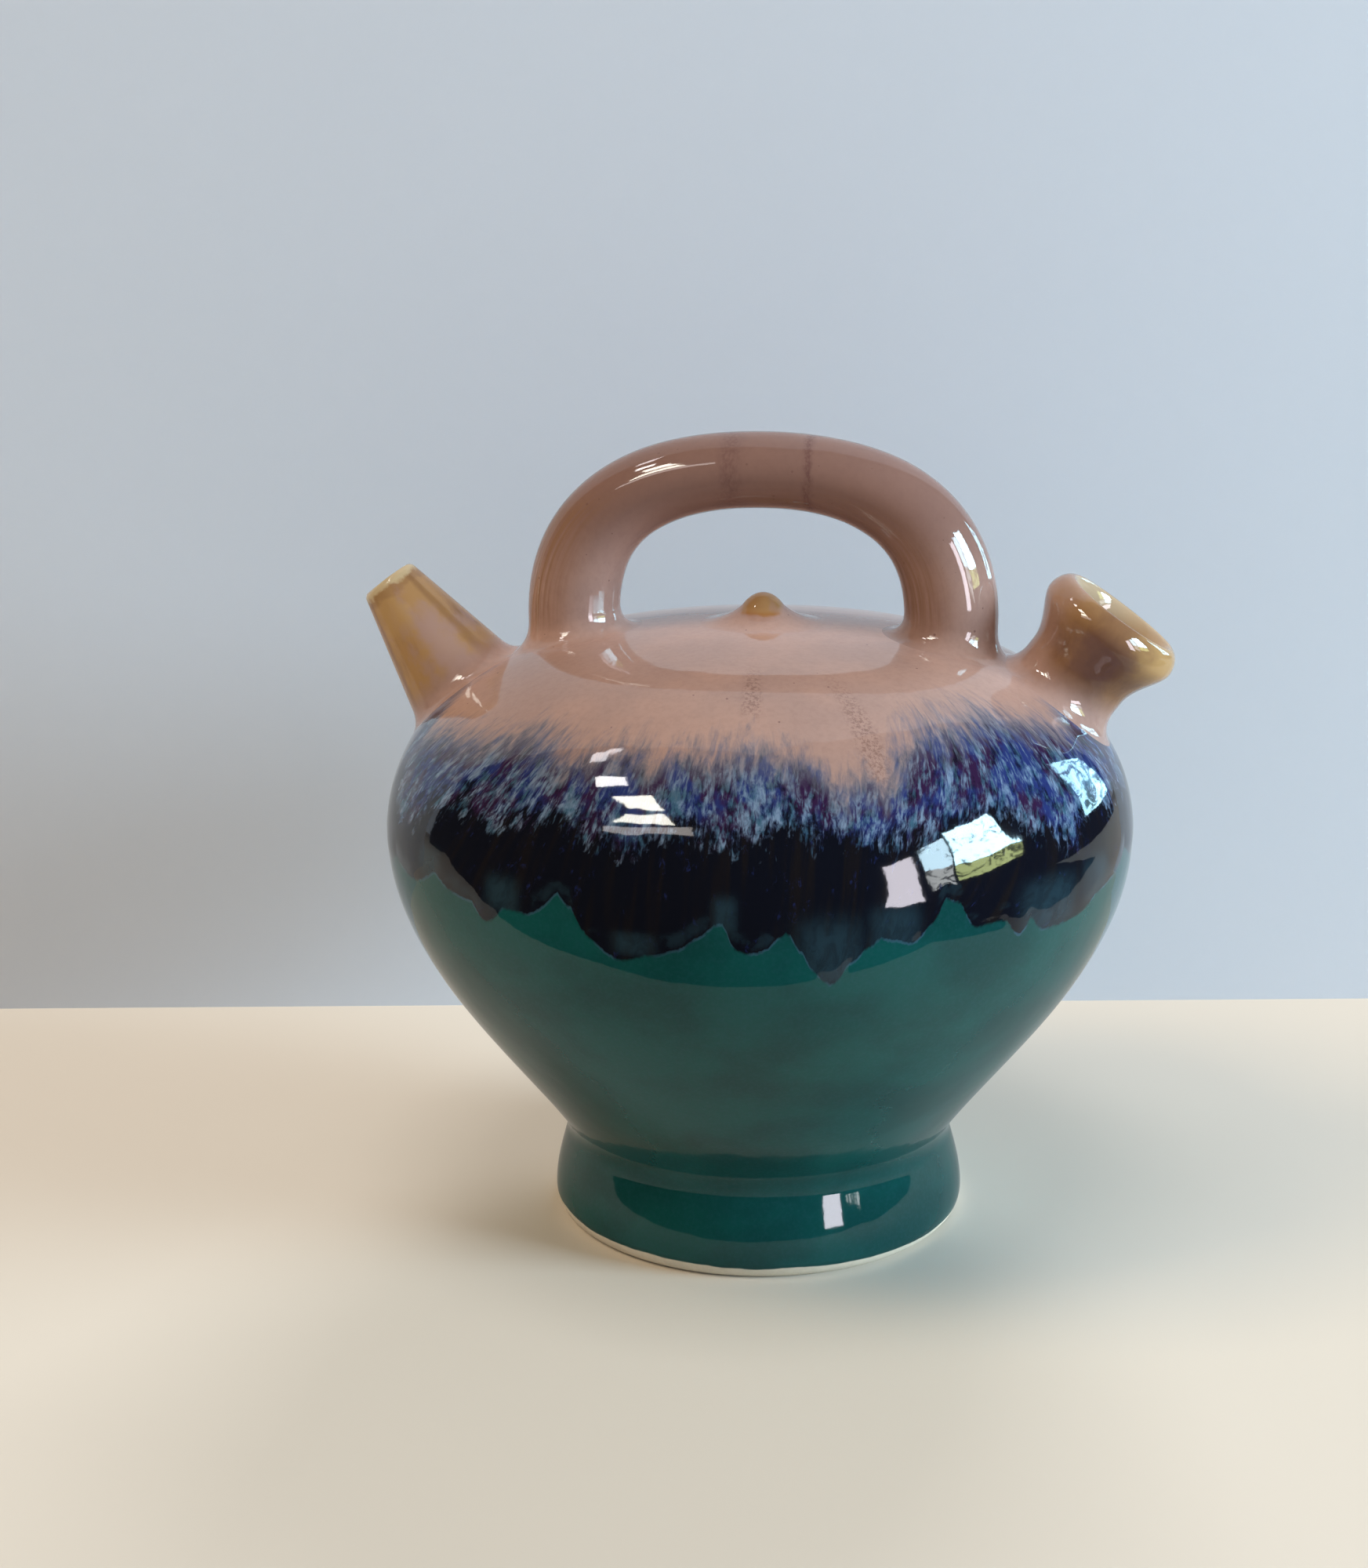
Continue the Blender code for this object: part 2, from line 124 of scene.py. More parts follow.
# Filling mouth.
MOUTH_SEAT_RADIUS = 0.0713
MOUTH_LEAN = math.radians(54.2)
MOUTH_LENGTH = 0.0229
MOUTH_WAIST_RADIUS = 0.0127
MOUTH_WAIST_LENGTH = 0.0058
MOUTH_LIP_RADIUS = 0.0173
MOUTH_LIP_LENGTH = 0.0179
MOUTH_RIM_RADIUS = 0.0138
MOUTH_BORE_RADIUS = 0.0100
MOUTH_RIM_PULL_IN = 0.0015
MOUTH_RIM_PULL_DOWN = 0.0003
MOUTH_RIM_WAVE = 0.0001

# Unevenness of the pulled handle: its share of the thickness, and the mm along it in which its
# waves turn by a radian. A potter's rim isn't quite flat either: its wave fades in along the
# neck's axis, from below the top to above it.
HANDLE_WAVE = 0.010
HANDLE_WAVE_STRETCH = 9
RIM_WAVE_FADE = (-0.012, 0.004)

# How far a neck goes on below its seat, for its root to be looked for there, and how far
# the cutter of its hole reaches to both sides of the seat.
NECK_BELOW_SEAT = 0.0140
NECK_ROOT_SEARCH = 0.0120
HOLE_CUTTER_REACH = 0.0180

# Nub on the crown.
NUB_RADIUS = 0.0048
NUB_HEIGHT = 0.0067
NUB_OFF_CENTRE = 0.0011

# How deep a piece is let into the one that carries it, how far its thin edge dips there,
# and how closely its fillet keeps to the corner.
LET_IN = 0.0010
SEAM_SINK = 0.00001
ROOT_PULL = 0.64

# Fineness of the turned and pulled surfaces: columns round them, and rows along them.
BODY_COLUMNS = 640
NECK_COLUMNS = 144
HANDLE_COLUMNS = 96
BOWL_ROWS = 96
BOWL_INSIDE_ROWS = 14
BOWL_FLOOR_ROWS = 8
DOME_ROWS = 100
DOME_INSIDE_ROWS = 12
FOOT_ROWS = 28
HANDLE_ROWS = 190
HANDLE_ARC_STEPS = 120
HANDLE_LEG_STEPS = 39
NECK_ROWS = 46
NECK_INSIDE_ROWS = 8
ROOT_ROWS = 14
SHARP_ANGLE = math.radians(40)

# Steps of the fine outlines that places on the dome and the bowl are looked up in, and how
# often a search for a height over the dome halves its range.
LOOKUP_STEPS = 320
SEAT_LOOKUP_STEPS = 200
FLANK_LOOKUP_STEPS = 800
HALVINGS = 36

# Stations at a seam lie very close together, so that it doesn't show in the gloss.
SEAM_STATIONS = (0, 0.0005, 0.0015, 0.004)
AFTER_SEAM = 0.01

# Lower edge of the dark glaze, as (angle, height in mm): tips of the runs and notches between.
DRIP_EDGE = (
    (-62, 97), (-54, 94.5), (-46.5, 99), (-41, 96), (-37, 95.5), (-34.5, 92), (-31, 96), (-26.5, 96),
    (-21.5, 102), (-19, 99), (-16, 93), (-12, 89), (-8.5, 90.5), (-4.5, 92), (-1.5, 95), (1, 98),
    (2.5, 98.5), (4, 93), (6, 92), (8, 93), (9.5, 95.5), (11, 97), (13, 92), (14.5, 88), (17, 84.5),
    (19, 89), (21.5, 92.5), (23.5, 94.5), (26, 93.5), (28, 92.5), (30.5, 96), (33, 101.5), (35.5, 100),
    (38, 94), (41.5, 94.5), (43.5, 94), (46, 90), (48, 94), (51, 89.5), (55, 89.5), (59, 90), (64, 93),
    (70, 94.5),
)
# Upper edge of the blues, where they break from the mauve.
BREAK_LINE = (
    (-68, 125), (-58, 126.5), (-48, 127), (-42, 128.5), (-38, 130.5), (-31, 130), (-25, 128), (-21, 129),
    (-14, 130.5), (-10, 128.5), (-7, 130), (2, 130.5), (6, 131.5), (11, 130), (14.5, 130.5), (17, 128),
    (19, 124), (22, 125.5), (24.5, 126.5), (26, 123), (30.5, 129), (36, 133), (46.5, 133.5), (52.5, 134.5),
    (56.5, 132.5), (65, 130), (71, 127),
)
# Height at which the streaks sink into the dark band.
DARK_LINE = (
    (-61, 104.5), (-53, 111), (-47, 114), (-43, 118), (-36, 115), (-24, 117.5), (-16, 116), (-11, 113.5),
    (-5, 118), (2.5, 116.5), (12, 119), (18.5, 116), (22.5, 113), (30, 115.5), (40, 117), (44, 117),
    (48, 114), (52.5, 110.5), (59, 106),
)
# Glassy beads in the runs and dusty patches in the mauve, as (angle, height, half width in
# degrees, half height in mm).
BEADS = (
    (16.5, 91, 4.5, 8), (25.5, 96, 3.5, 5), (2.5, 100, 1.6, 4), (-31, 99, 3, 4), (-10, 93, 3, 2.5),
    (52, 95, 6, 6), (64, 97, 4, 5), (-48, 100, 3, 4), (96, 96, 5, 6), (131, 94, 4, 7), (163, 95, 5, 6),
    (-160, 94, 5, 6), (-122, 96, 4, 6), (-88, 96, 4, 5),
)
DUST = ((26.5, 131, 2.4, 9), (5.5, 139, 2.2, 3), (118, 130, 3, 8), (-140, 132, 3, 8))
# How far the streaks lean from upright, as (angle, slope).
STREAK_LEAN = (
    (-180, 0.2), (-75, 0.75), (-45, 0.6), (-20, 0.15), (0, 0.0), (18, 0.15), (35, 0.65), (52, 0.25),
    (75, -0.3), (180, 0.2),
)
# Lines round the jug: their points, the seed of the runs round the back, the lowest and the
# highest of those runs in mm, and how round a run's tip is.
GLAZE_LINES = (
    (DRIP_EDGE, 5, 86, 101, 1.7),
    (DARK_LINE, 11, 107, 118, 1.0),
    (BREAK_LINE, 23, 124, 134, 1.0),
)
# Runs round the back: degrees from one to the next, and the share of the way up that their
# tops and their tips reach.
BACK_RUN_STEP = (2.4, 9.0)
BACK_TOP = (0.45, 1.0)
BACK_TIP = (0.0, 0.6)

# Relief by the height over the drip edge, in mm: where a run rises and thins out again, and
# where the bead along its edge does. The shares are of a run's thickness: the bead's, and how
# far the plain outline is taken in for the relief, and for the pieces that are set on it.
RUN_RISES = (-0.6, 4.2)
RUN_THINS = (10, 40)
BEAD_RISES = (-0.2, 2.4)
BEAD_THINS = (3.5, 9)
BEAD_SHARE = 0.12
ROOM_SHARE = 1.25
SEAT_SHARE = 1.1

# Gloss of every glaze, and the depth of the fired skin on it.
GLAZE_GLOSS = {"Roughness": 0.045, "IOR": 1.49, "Specular IOR Level": 0.42, "Metallic": 0.0}
SKIN_DEPTH = 0.00030
SKIN_STRENGTH = 0.5
# Dusky bands over the handle's top: place along it in mm, half width in mm, strength.
HANDLE_BANDS = ((-5.5, 4.2, 0.42), (12.5, 1.7, 0.75))


def jug_settings():
    """The settings that the panel shows."""
    return bpy.context.scene.glazed_jug


# Curves and outlines.


def curve(start, pull_start, pull_end, end, stations):
    """Points of a cubic curve at stations from 0 to 1."""
    t = np.asarray(stations, float)[:, None]
    s = 1 - t
    points = (np.asarray(point, float) for point in (start, pull_start, pull_end, end))
    start, pull_start, pull_end, end = points
    return s**3 * start + 3 * s * s * t * pull_start + 3 * s * t * t * pull_end + t**3 * end


def even(steps):
    """Evenly spaced stations."""
    return np.linspace(0, 1, steps + 1)


def tight_start(steps):
    """Stations that begin very close together, at a seam."""
    return np.concatenate([SEAM_STATIONS, np.linspace(AFTER_SEAM, 1, steps)])


def unit(vectors):
    """Vectors brought to length 1."""
    return vectors / np.linalg.norm(vectors, axis=-1)[..., None]


def outward(outline):
    """Unit normals of an outline, on its right-hand side."""
    step = np.gradient(outline, axis=0)
    return unit(np.column_stack([step[:, 1], -step[:, 0]]))


def moved(outline, distance):
    """The outline moved outward."""
    result = outline + outward(outline) * distance
    result[outline[:, 0] < TINY, 0] = 0.0
    return result


def underside_outline(stations):
    """Outside of the bowl from its middle to the crease over the foot."""
    pull = (CREASE_HEIGHT - FLOOR_HEIGHT) * UNDERSIDE_PULL_SHARE
    turn = (CREASE_RADIUS - pull * math.cos(FLANK_SLOPE), CREASE_HEIGHT - pull * math.sin(FLANK_SLOPE))
    middle = (CREASE_RADIUS * 0.5, FLOOR_HEIGHT)
    return curve((0.0, FLOOR_HEIGHT), middle, turn, (CREASE_RADIUS, CREASE_HEIGHT), stations)


def flank_outline(stations):
    """Outside of the bowl from the crease to the belly."""
    rise = (
        CREASE_RADIUS + FLANK_PULL * math.cos(FLANK_SLOPE),
        CREASE_HEIGHT + FLANK_PULL * math.sin(FLANK_SLOPE),
    )
    turn = (BELLY_RADIUS, BELLY_HEIGHT - BELLY_PULL_DOWN)
    return curve((CREASE_RADIUS, CREASE_HEIGHT), rise, turn, (BELLY_RADIUS, BELLY_HEIGHT), stations)


def shoulder_outline(stations):
    """Outside of the dome from the belly to the shoulder."""
    turn = (
        SHOULDER_RADIUS + SHOULDER_PULL * math.cos(SHOULDER_SLOPE),
        SHOULDER_HEIGHT - SHOULDER_PULL * math.sin(SHOULDER_SLOPE),
    )
    start = (BELLY_RADIUS, BELLY_HEIGHT)
    rise = (BELLY_RADIUS, BELLY_HEIGHT + BELLY_PULL_UP)
    return curve(start, rise, turn, (SHOULDER_RADIUS, SHOULDER_HEIGHT), stations)


def crown_outline(stations):
    """Outside of the dome from the shoulder to its middle."""
    start = (SHOULDER_RADIUS, SHOULDER_HEIGHT)
    turn = (SHOULDER_RADIUS * 2 / 3, SHOULDER_HEIGHT + SHOULDER_RADIUS / 3 * math.tan(SHOULDER_SLOPE))
    return curve(start, turn, (SHOULDER_RADIUS / 3, CROWN_HEIGHT), (0.0, CROWN_HEIGHT), stations)


def dome_outline(steps):
    """Outside of the dome from the belly to its middle."""
    return np.vstack([shoulder_outline(tight_start(steps)), crown_outline(even(steps // 4))[1:]])


def bowl_outline(steps):
    """Outside of the bowl from its middle to the belly."""
    flank = flank_outline(1 - tight_start(steps)[::-1])
    return np.vstack([underside_outline(even(steps // 4)), flank[1:]])


# Relief of the glaze.


def full_round(points, seed, low, high):
    """A line's points carried on round the back, with runs of the same kind that end near its start."""
    spread = random.Random(seed)
    result = list(points)
    angle = points[-1][0]
    last = points[0][0] + 360
    rising = True
    while angle < last - BACK_RUN_STEP[1]:
        angle += spread.uniform(*BACK_RUN_STEP)
        share = spread.uniform(*(BACK_TOP if rising else BACK_TIP))
        result.append((angle, low + (high - low) * share))
        rising = not rising
    return np.array(result)


def line_height(points, angles, roundness):
    """Heights of a line round the jug, rounded below and sharp above where roundness is over 1."""
    spots = np.vstack([points + [-360, 0], points, points + [360, 0]])
    at = np.clip(np.searchsorted(spots[:, 0], angles, side="right") - 1, 0, len(spots) - 2)
    a0, h0 = spots[at, 0], spots[at, 1]
    a1, h1 = spots[at + 1, 0], spots[at + 1, 1]
    share = (angles - a0) / (a1 - a0)
    rise = np.where(h0 < h1, share, 1 - share)
    return np.minimum(h0, h1) + np.abs(h1 - h0) * rise**roundness


def smooth_step(values, low, high):
    """0 below low, 1 above high, and soft between."""
    t = np.clip((values - low) / (high - low), 0, 1)
    return t * t * (3 - 2 * t)


def angles_of(points):
    """Angle round the jug of each point."""
    return np.degrees(np.arctan2(points[..., 0], -points[..., 1]))


def glaze_lines(points):
    """Height of each point over the drip edge, the dark line and the break line, in mm."""
    angles = angles_of(points)
    height = points[..., 2] / MM
    over = []
    for points_of_line, seed, low, high, roundness in GLAZE_LINES:
        whole_line = full_round(points_of_line, seed, low, high)
        over.append(height - line_height(whole_line, angles, roundness))
    return np.stack(over, axis=-1)


def hand_wave(points):
    """Slight unevenness left by the potter's hands, from -1 to 1.

    Its waves, in mm, have lengths without a common measure, so that they never line up.
    """
    x, y, z = (points[..., k] / MM for k in range(3))
    slow = np.sin(x / 19 + 1.3) * np.sin(y / 23 + 0.4) + np.sin(z / 11 + x / 31)
    quick = np.sin(z / 4.3 + 0.9) * np.sin(x / 37 + y / 29)
    return (0.7 * slow + 0.3 * quick) / 2


def glaze_room():
    """How far the plain outline is taken in, so that the relief never stands proud of it."""
    settings = jug_settings()
    return settings.hand_depth + ROOM_SHARE * settings.run_thickness


def body_lift(points):
    """Distance of the glazed surface from the plain outline: a run, and a bead along its edge."""
    settings = jug_settings()
    over = glaze_lines(points)[..., 0]
    run = smooth_step(over, *RUN_RISES) * (1 - smooth_step(over, *RUN_THINS))
    bead = BEAD_SHARE * smooth_step(over, *BEAD_RISES) * (1 - smooth_step(over, *BEAD_THINS))
    relief = settings.run_thickness * (run + bead) + settings.hand_depth * hand_wave(points)
    return relief - glaze_room()


def glazed(points, normals):
    """Body surface with its uneven throwing and the thicker runs of dark glaze."""
    return points + normals * body_lift(points)[..., None]


# Meshes.


def turned(outline, columns):
    """Rows of points and normals of an outline turned about the jug's axis."""
    angle = np.arange(columns) * math.tau / columns
    around = np.column_stack([np.sin(angle), -np.cos(angle)])
    normal = outward(outline)
    rows = np.empty((len(outline), columns, 3))
    normals = np.empty_like(rows)
    rows[..., :2] = outline[:, None, :1] * around
    rows[..., 2] = outline[:, 1, None]
    normals[..., :2] = normal[:, None, :1] * around
    normals[..., 2] = normal[:, 1, None]
    return rows, normals


def skin(name, rows, first_pole=None, last_pole=None):
    """Closed mesh over rows of points: capped with two poles, or joined end to end without them."""
    rows = np.asarray(rows, float)
    count, columns = rows.shape[:2]
    points = rows.reshape(-1, 3)
    column = np.arange(columns)
    following = (column + 1) % columns
    starts = np.arange(count - 1 if first_pole is not None else count)
    lower = starts[:, None] * columns
    upper = (starts[:, None] + 1) % count * columns
    quads = np.stack([lower + column, lower + following, upper + following, upper + column], axis=-1)
    faces = quads.reshape(-1, 4).tolist()
    if first_pole is not None:
        points = np.vstack([points, [first_pole], [last_pole]])
        low, high = count * columns, count * columns + 1
        top = (count - 1) * columns
        faces += np.column_stack([following, column, np.full(columns, low)]).tolist()
        faces += np.column_stack([top + column, top + following, np.full(columns, high)]).tolist()
    mesh = bpy.data.meshes.new(name)
    mesh.from_pydata(points.tolist(), [], faces)
    mesh.update()
    return mesh


def mesh_points(mesh):
    """Places of all the vertices of a mesh."""
    points = np.empty(len(mesh.vertices) * 3)
    mesh.vertices.foreach_get("co", points)
    return points.reshape(-1, 3)


def keep_numbers(mesh, name, values):
    """Store one number or one vector for each vertex, for the glaze to read."""
    kind, field = ("FLOAT_VECTOR", "vector") if values.ndim == 2 else ("FLOAT", "value")
    attribute = mesh.attributes.new(name, kind, "POINT")
    attribute.data.foreach_set(field, values.astype(np.float32).ravel())


def finish_piece(mesh, node, material):
    """Put a finished mesh on the frame in the place of its CAD node."""
    if len(mesh.polygons) == 0:
        raise RuntimeError(mesh.name + " has no surface")
    mesh.shade_smooth()
    mesh.set_sharp_from_angle(angle=SHARP_ANGLE)
    mesh.materials.clear()
    mesh.materials.append(material)
    piece = bpy.data.objects.new(mesh.name, mesh)
    bpy.context.scene.collection.objects.link(piece)
    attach(piece, "root")
    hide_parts(node)
    return piece


def outward_faces(mesh):
    """Turn every face outward, if the mesh was skinned inside out."""
    mesh.calc_loop_triangles()
    corner = mesh_points(mesh)
    triangles = np.array([t.vertices[:] for t in mesh.loop_triangles])
    a, b, c = (corner[triangles[:, k]] for k in range(3))
    if np.einsum("ij,ij->i", a, np.cross(b, c)).sum() < 0:
        mesh.flip_normals()


# The dome as a seat for what is set on it.


def seat_depth():
    """How far the mean glazed surface of the dome lies inside its plain outline."""
    settings = jug_settings()
    return settings.hand_depth + SEAT_SHARE * settings.run_thickness


def glazed_dome_outline():
    """Mean outside of the glazed dome, for pieces to sit on."""
    return moved(dome_outline(LOOKUP_STEPS), -seat_depth())


def on_glaze(points, normals):
    """Points of the mean glazed surface moved onto the uneven one."""
    return glazed(points + normals * seat_depth(), normals)


def bent(start, first, second, end, t):
    """Row of points at one station of cubic curves, one curve for each line."""
    s = 1 - t
    return s**3 * start + 3 * s * s * t * first + 3 * s * t * t * second + t**3 * end


def nearest_on_dome(points):
    """Nearest points on the dome's outside, with their normals."""
    outline = glazed_dome_outline()
    normal = outward(outline)
    around = np.hypot(points[..., 0], points[..., 1])
    spot = np.stack([around, points[..., 2]], axis=-1).reshape(-1, 2)
    nearest = np.empty(len(spot), int)
    at_a_time = 4096
    for start in range(0, len(spot), at_a_time):
        some = spot[start : start + at_a_time]
        gaps = ((some[:, None, :] - outline[None]) ** 2).sum(-1)
        nearest[start : start + at_a_time] = gaps.argmin(1)
    n = normal[nearest]
    height = ((spot - outline[nearest]) * n).sum(1)
    foot = (spot - n * height[:, None]).reshape(points.shape[:-1] + (2,))
    n = n.reshape(foot.shape)
    flat = points[..., :2] / np.maximum(around, TINY)[..., None]
    foot3 = np.concatenate([flat * foot[..., :1], foot[..., 1:]], axis=-1)
    normal3 = np.concatenate([flat * n[..., :1], n[..., 1:]], axis=-1)
    return foot3, normal3, height.reshape(points.shape[:-1])


def station_at(tube, inside, outside, height):
    """Station of each line along a tube at which it stands at a height over the dome."""
    low = np.full(tube.columns, float(inside))
    high = np.full(tube.columns, float(outside))
    for _ in range(HALVINGS):
        middle = (low + high) / 2
        above = nearest_on_dome(tube.point(middle))[2] > height
        high = np.where(above, middle, high)
        low = np.where(above, low, middle)
    return high


def root_rows(tube, inside, outside, reach):
    """Where a tube's fillet starts, and its rows from there down onto the dome and into it."""
    start = station_at(tube, inside, outside, reach)
    meet = station_at(tube, inside, outside, 0.0)
    top = tube.point(start)
    foot = tube.point(meet)
    foot, normal, _ = nearest_on_dome(foot)
    away = foot - tube.centre(meet)
    away = unit(away - normal * (away * normal).sum(-1)[:, None])
    end, end_normal, _ = nearest_on_dome(foot + away * reach)
    end = on_glaze(end, end_normal) - end_normal * SEAM_SINK
    foot = on_glaze(foot, normal)
    first = top + (foot - top) * ROOT_PULL
    second = end + (foot - end) * ROOT_PULL
    rows = [bent(top, first, second, end, t) for t in even(ROOT_ROWS)[1:]]
    rows.append(end - end_normal * LET_IN)
    return start, rows


class LeaningNeck:
    """A neck turned about an axis that leans outward from its seat on the dome."""

    def __init__(self, seat_radius, lean, side, outline, columns):
        dome = dome_outline(SEAT_LOOKUP_STEPS)
        seat_height = np.interp(-seat_radius, -dome[:, 0], dome[:, 1])
        self.seat = np.array([side * seat_radius, 0.0, seat_height])
        self.axis = np.array([side * math.cos(lean), 0.0, math.sin(lean)])
        self.sideways = np.array([0.0, 1.0, 0.0])
        self.upward = np.cross(self.sideways, self.axis)
        self.radii, self.lengths = outline[:, 0], outline[:, 1]
        self.columns = columns
        self.angle = np.arange(columns) * math.tau / columns

    def centre(self, length):
        """Points on the axis, at a length from the seat."""
        return self.seat + self.axis * np.asarray(length)[..., None]

    def ring(self, radius, length):
        """A ring of points, at one length or at a length for each line."""
        turn = self.angle[:, None]
        around = np.cos(turn) * self.sideways + np.sin(turn) * self.upward
        centre = self.centre(np.broadcast_to(length, self.columns))
        return centre + around * np.asarray(radius)[..., None]

    def point(self, length):
        """Points of the outside at a length for each line."""
        return self.ring(np.interp(length, self.lengths, self.radii), length)


class HandlePath:
    """The basket handle as an oval tube over its path."""

    def __init__(self, columns):
        spring = (HANDLE_LEG_SPREAD, HANDLE_SPRING_HEIGHT)
        pull = (HANDLE_LEG_SPREAD, HANDLE_SPRING_HEIGHT + HANDLE_LEG_PULL)
        top_pull = (HANDLE_TOP_PULL, HANDLE_TOP_HEIGHT)
        half = curve(spring, pull, top_pull, (0.0, HANDLE_TOP_HEIGHT), even(HANDLE_ARC_STEPS))
        leg_foot = HANDLE_SPRING_HEIGHT - HANDLE_LEG_BELOW_SPRING
        leg_heights = np.linspace(leg_foot, HANDLE_SPRING_HEIGHT, HANDLE_LEG_STEPS + 1)[:-1]
        leg = np.column_stack([np.full_like(leg_heights, HANDLE_LEG_SPREAD), leg_heights])
        side = np.vstack([leg, half])
        path = np.vstack([side * [-1, 1], side[::-1][1:]])
        step = np.linalg.norm(np.diff(path, axis=0), axis=1)
        self.station = np.concatenate([[0], np.cumsum(step)])
        self.length = self.station[-1]
        self.path = path
        along = unit(np.gradient(path, axis=0))
        self.across = np.column_stack([-along[:, 1], along[:, 0]])
        rise = (path[:, 1] - HANDLE_SPRING_HEIGHT) / (HANDLE_TOP_HEIGHT - HANDLE_SPRING_HEIGHT)
        ease = np.clip(rise, 0, 1) ** 2
        thinning = HANDLE_TOP_THICKNESS - HANDLE_LEG_THICKNESS
        self.thickness = HANDLE_LEG_THICKNESS + thinning * ease
        self.columns = columns
        self.angle = np.arange(columns) * math.tau / columns

    def along(self, station, values):
        """Values of the path at stations."""
        return np.interp(station, self.station, values)

    def centre(self, station):
        """Points in the middle of the tube."""
        x = self.along(station, self.path[:, 0]) + HANDLE_OFF_CENTRE
        return np.stack([x, np.zeros_like(x), self.along(station, self.path[:, 1])], axis=-1)

    def point(self, station):
        """Points of the outside at a station for each line, with the waves left by pulling."""
        radius = self.along(station, self.thickness) / 2 - HANDLE_INSET
        across_x = self.along(station, self.across[:, 0])
        across_z = self.along(station, self.across[:, 1])
        wave = 1 + HANDLE_WAVE * np.sin(station / MM / HANDLE_WAVE_STRETCH + 2 * self.angle)
        shift = np.cos(self.angle) * radius * np.minimum(wave, 1)
        point = self.centre(station)
        point[..., 0] += across_x * shift
        point[..., 2] += across_z * shift
        point[..., 1] += np.sin(self.angle) * (HANDLE_DEPTH / 2 - HANDLE_SIDE_INSET)
        return point


# Shader helpers.


class Recipe:
    """Adds shader nodes to a tree, each fed with sockets or plain values."""

    def __init__(self, tree):
        self.tree = tree

    def feed(self, socket, value):
        """Give an input another node's output, or a number, a vector or a colour."""
        if isinstance(value, bpy.types.NodeSocket):
            self.tree.links.new(value, socket)
        elif socket.type == "RGBA":
            socket.default_value = (*value, 1.0)
        else:
            socket.default_value = value

    def add(self, kind, feeds=(), **settings):
        """One node, with its settings and what its inputs are fed with."""
        node = self.tree.nodes.new(kind)
        for name, value in settings.items():
            setattr(node, name, value)
        for key, value in dict(feeds).items():
            self.feed(node.inputs[key], value)
        return node

    def math(self, operation, *values):
        """Result of an operation on numbers."""
        return self.add("ShaderNodeMath", enumerate(values), operation=operation).outputs[0]

    def times(self, first, second):
        """Product of two values."""
        return self.math("MULTIPLY", first, second)

    def plus(self, first, second):
        """Sum of two values."""
        return self.math("ADD", first, second)

    def swing(self, cloud, width):
        """A cloudy value turned into a swing to both sides of zero."""
        return self.times(self.math("SUBTRACT", cloud, 0.5), width)

    def vector(self, operation, first, second):
        """Result of an operation on places."""
        return self.add("ShaderNodeVectorMath", {0: first, 1: second}, operation=operation).outputs[0]

    def parts(self, place):
        """The three numbers of a place."""
        return self.add("ShaderNodeSeparateXYZ", {0: place}).outputs

    def attribute(self, name, output="Fac"):
        """Number stored on the mesh, or the place if output is Vector."""
        return self.add("ShaderNodeAttribute", attribute_name=name).outputs[output]

    def place(self):
        """Place on the piece in millimetres."""
        spot = self.add("ShaderNodeTexCoord").outputs["Object"]
        return self.add("ShaderNodeVectorMath", {0: spot, "Scale": 1 / MM}, operation="SCALE").outputs[0]

    def cloud(self, place, across, along, detail=3.0, roughness=0.55, distortion=0.0, offset=None):
        """Cloudy value from 0 to 1, with features so many mm across and along the jug's axis.

        An offset moves it aside, so that it doesn't coincide with another.
        """
        place = self.vector("MULTIPLY", place, (1 / across, 1 / across, 1 / along))
        if offset:
            place = self.vector("ADD", place, offset)
        feeds = {"Vector": place, "Scale": 1.0, "Detail": detail}
        feeds.update({"Roughness": roughness, "Distortion": distortion})
        return self.add("ShaderNodeTexNoise", feeds).outputs["Fac"]

    def step(self, value, low, high):
        """Soft step from 0 at low to 1 at high."""
        feeds = {0: value, 1: low, 2: high, 3: 0.0, 4: 1.0}
        return self.add("ShaderNodeMapRange", feeds, interpolation_type="SMOOTHSTEP").outputs[0]

    def band(self, value, low, high, soft):
        """1 between low and high, 0 outside, with edges so soft."""
        return self.times(self.step(value, low, low + soft), self.step(value, high, high - soft))

    def between(self, share, first, last):
        """A number that goes straight from the first to the last."""
        return self.add("ShaderNodeMapRange", {0: share, 1: 0.0, 2: 1.0, 3: first, 4: last}).outputs[0]

    def mix(self, share, under, over):
        """Colour between two colours."""
        return self.add("ShaderNodeMix", {0: share, 6: under, 7: over}, data_type="RGBA").outputs[2]

    def coat(self, under, over, share, strength):
        """A colour laid over another where the share says, as thickly as the strength says."""
        return self.mix(self.times(share, strength), under, over)

    def effect(self, name, **feeds):
        """Output of a shared effect, with its inputs fed."""
        node = self.tree.nodes.new("ShaderNodeGroup")
        node.node_tree = shared_effect(name)
        for label, value in feeds.items():
            self.feed(node.inputs[label], value)
        return node.outputs[0]


# Effects that more than one glaze uses. Sizes in them are in mm.


def specks_mask(r, given):
    """Small round specks scattered thinly over a glaze."""
    place = r.vector("DIVIDE", given["Place"], given["Spacing"])
    cells = r.add("ShaderNodeTexVoronoi", {"Vector": place, "Scale": 1.0}).outputs
    pick = r.add("ShaderNodeSeparateColor", {"Color": cells["Color"]}).outputs
    radius = r.math("MULTIPLY_ADD", pick["Green"], 0.14, 0.08)
    dot = r.math("LESS_THAN", cells["Distance"], radius)
    chosen = r.math("LESS_THAN", pick["Red"], given["Share"])
    return r.times(dot, chosen)


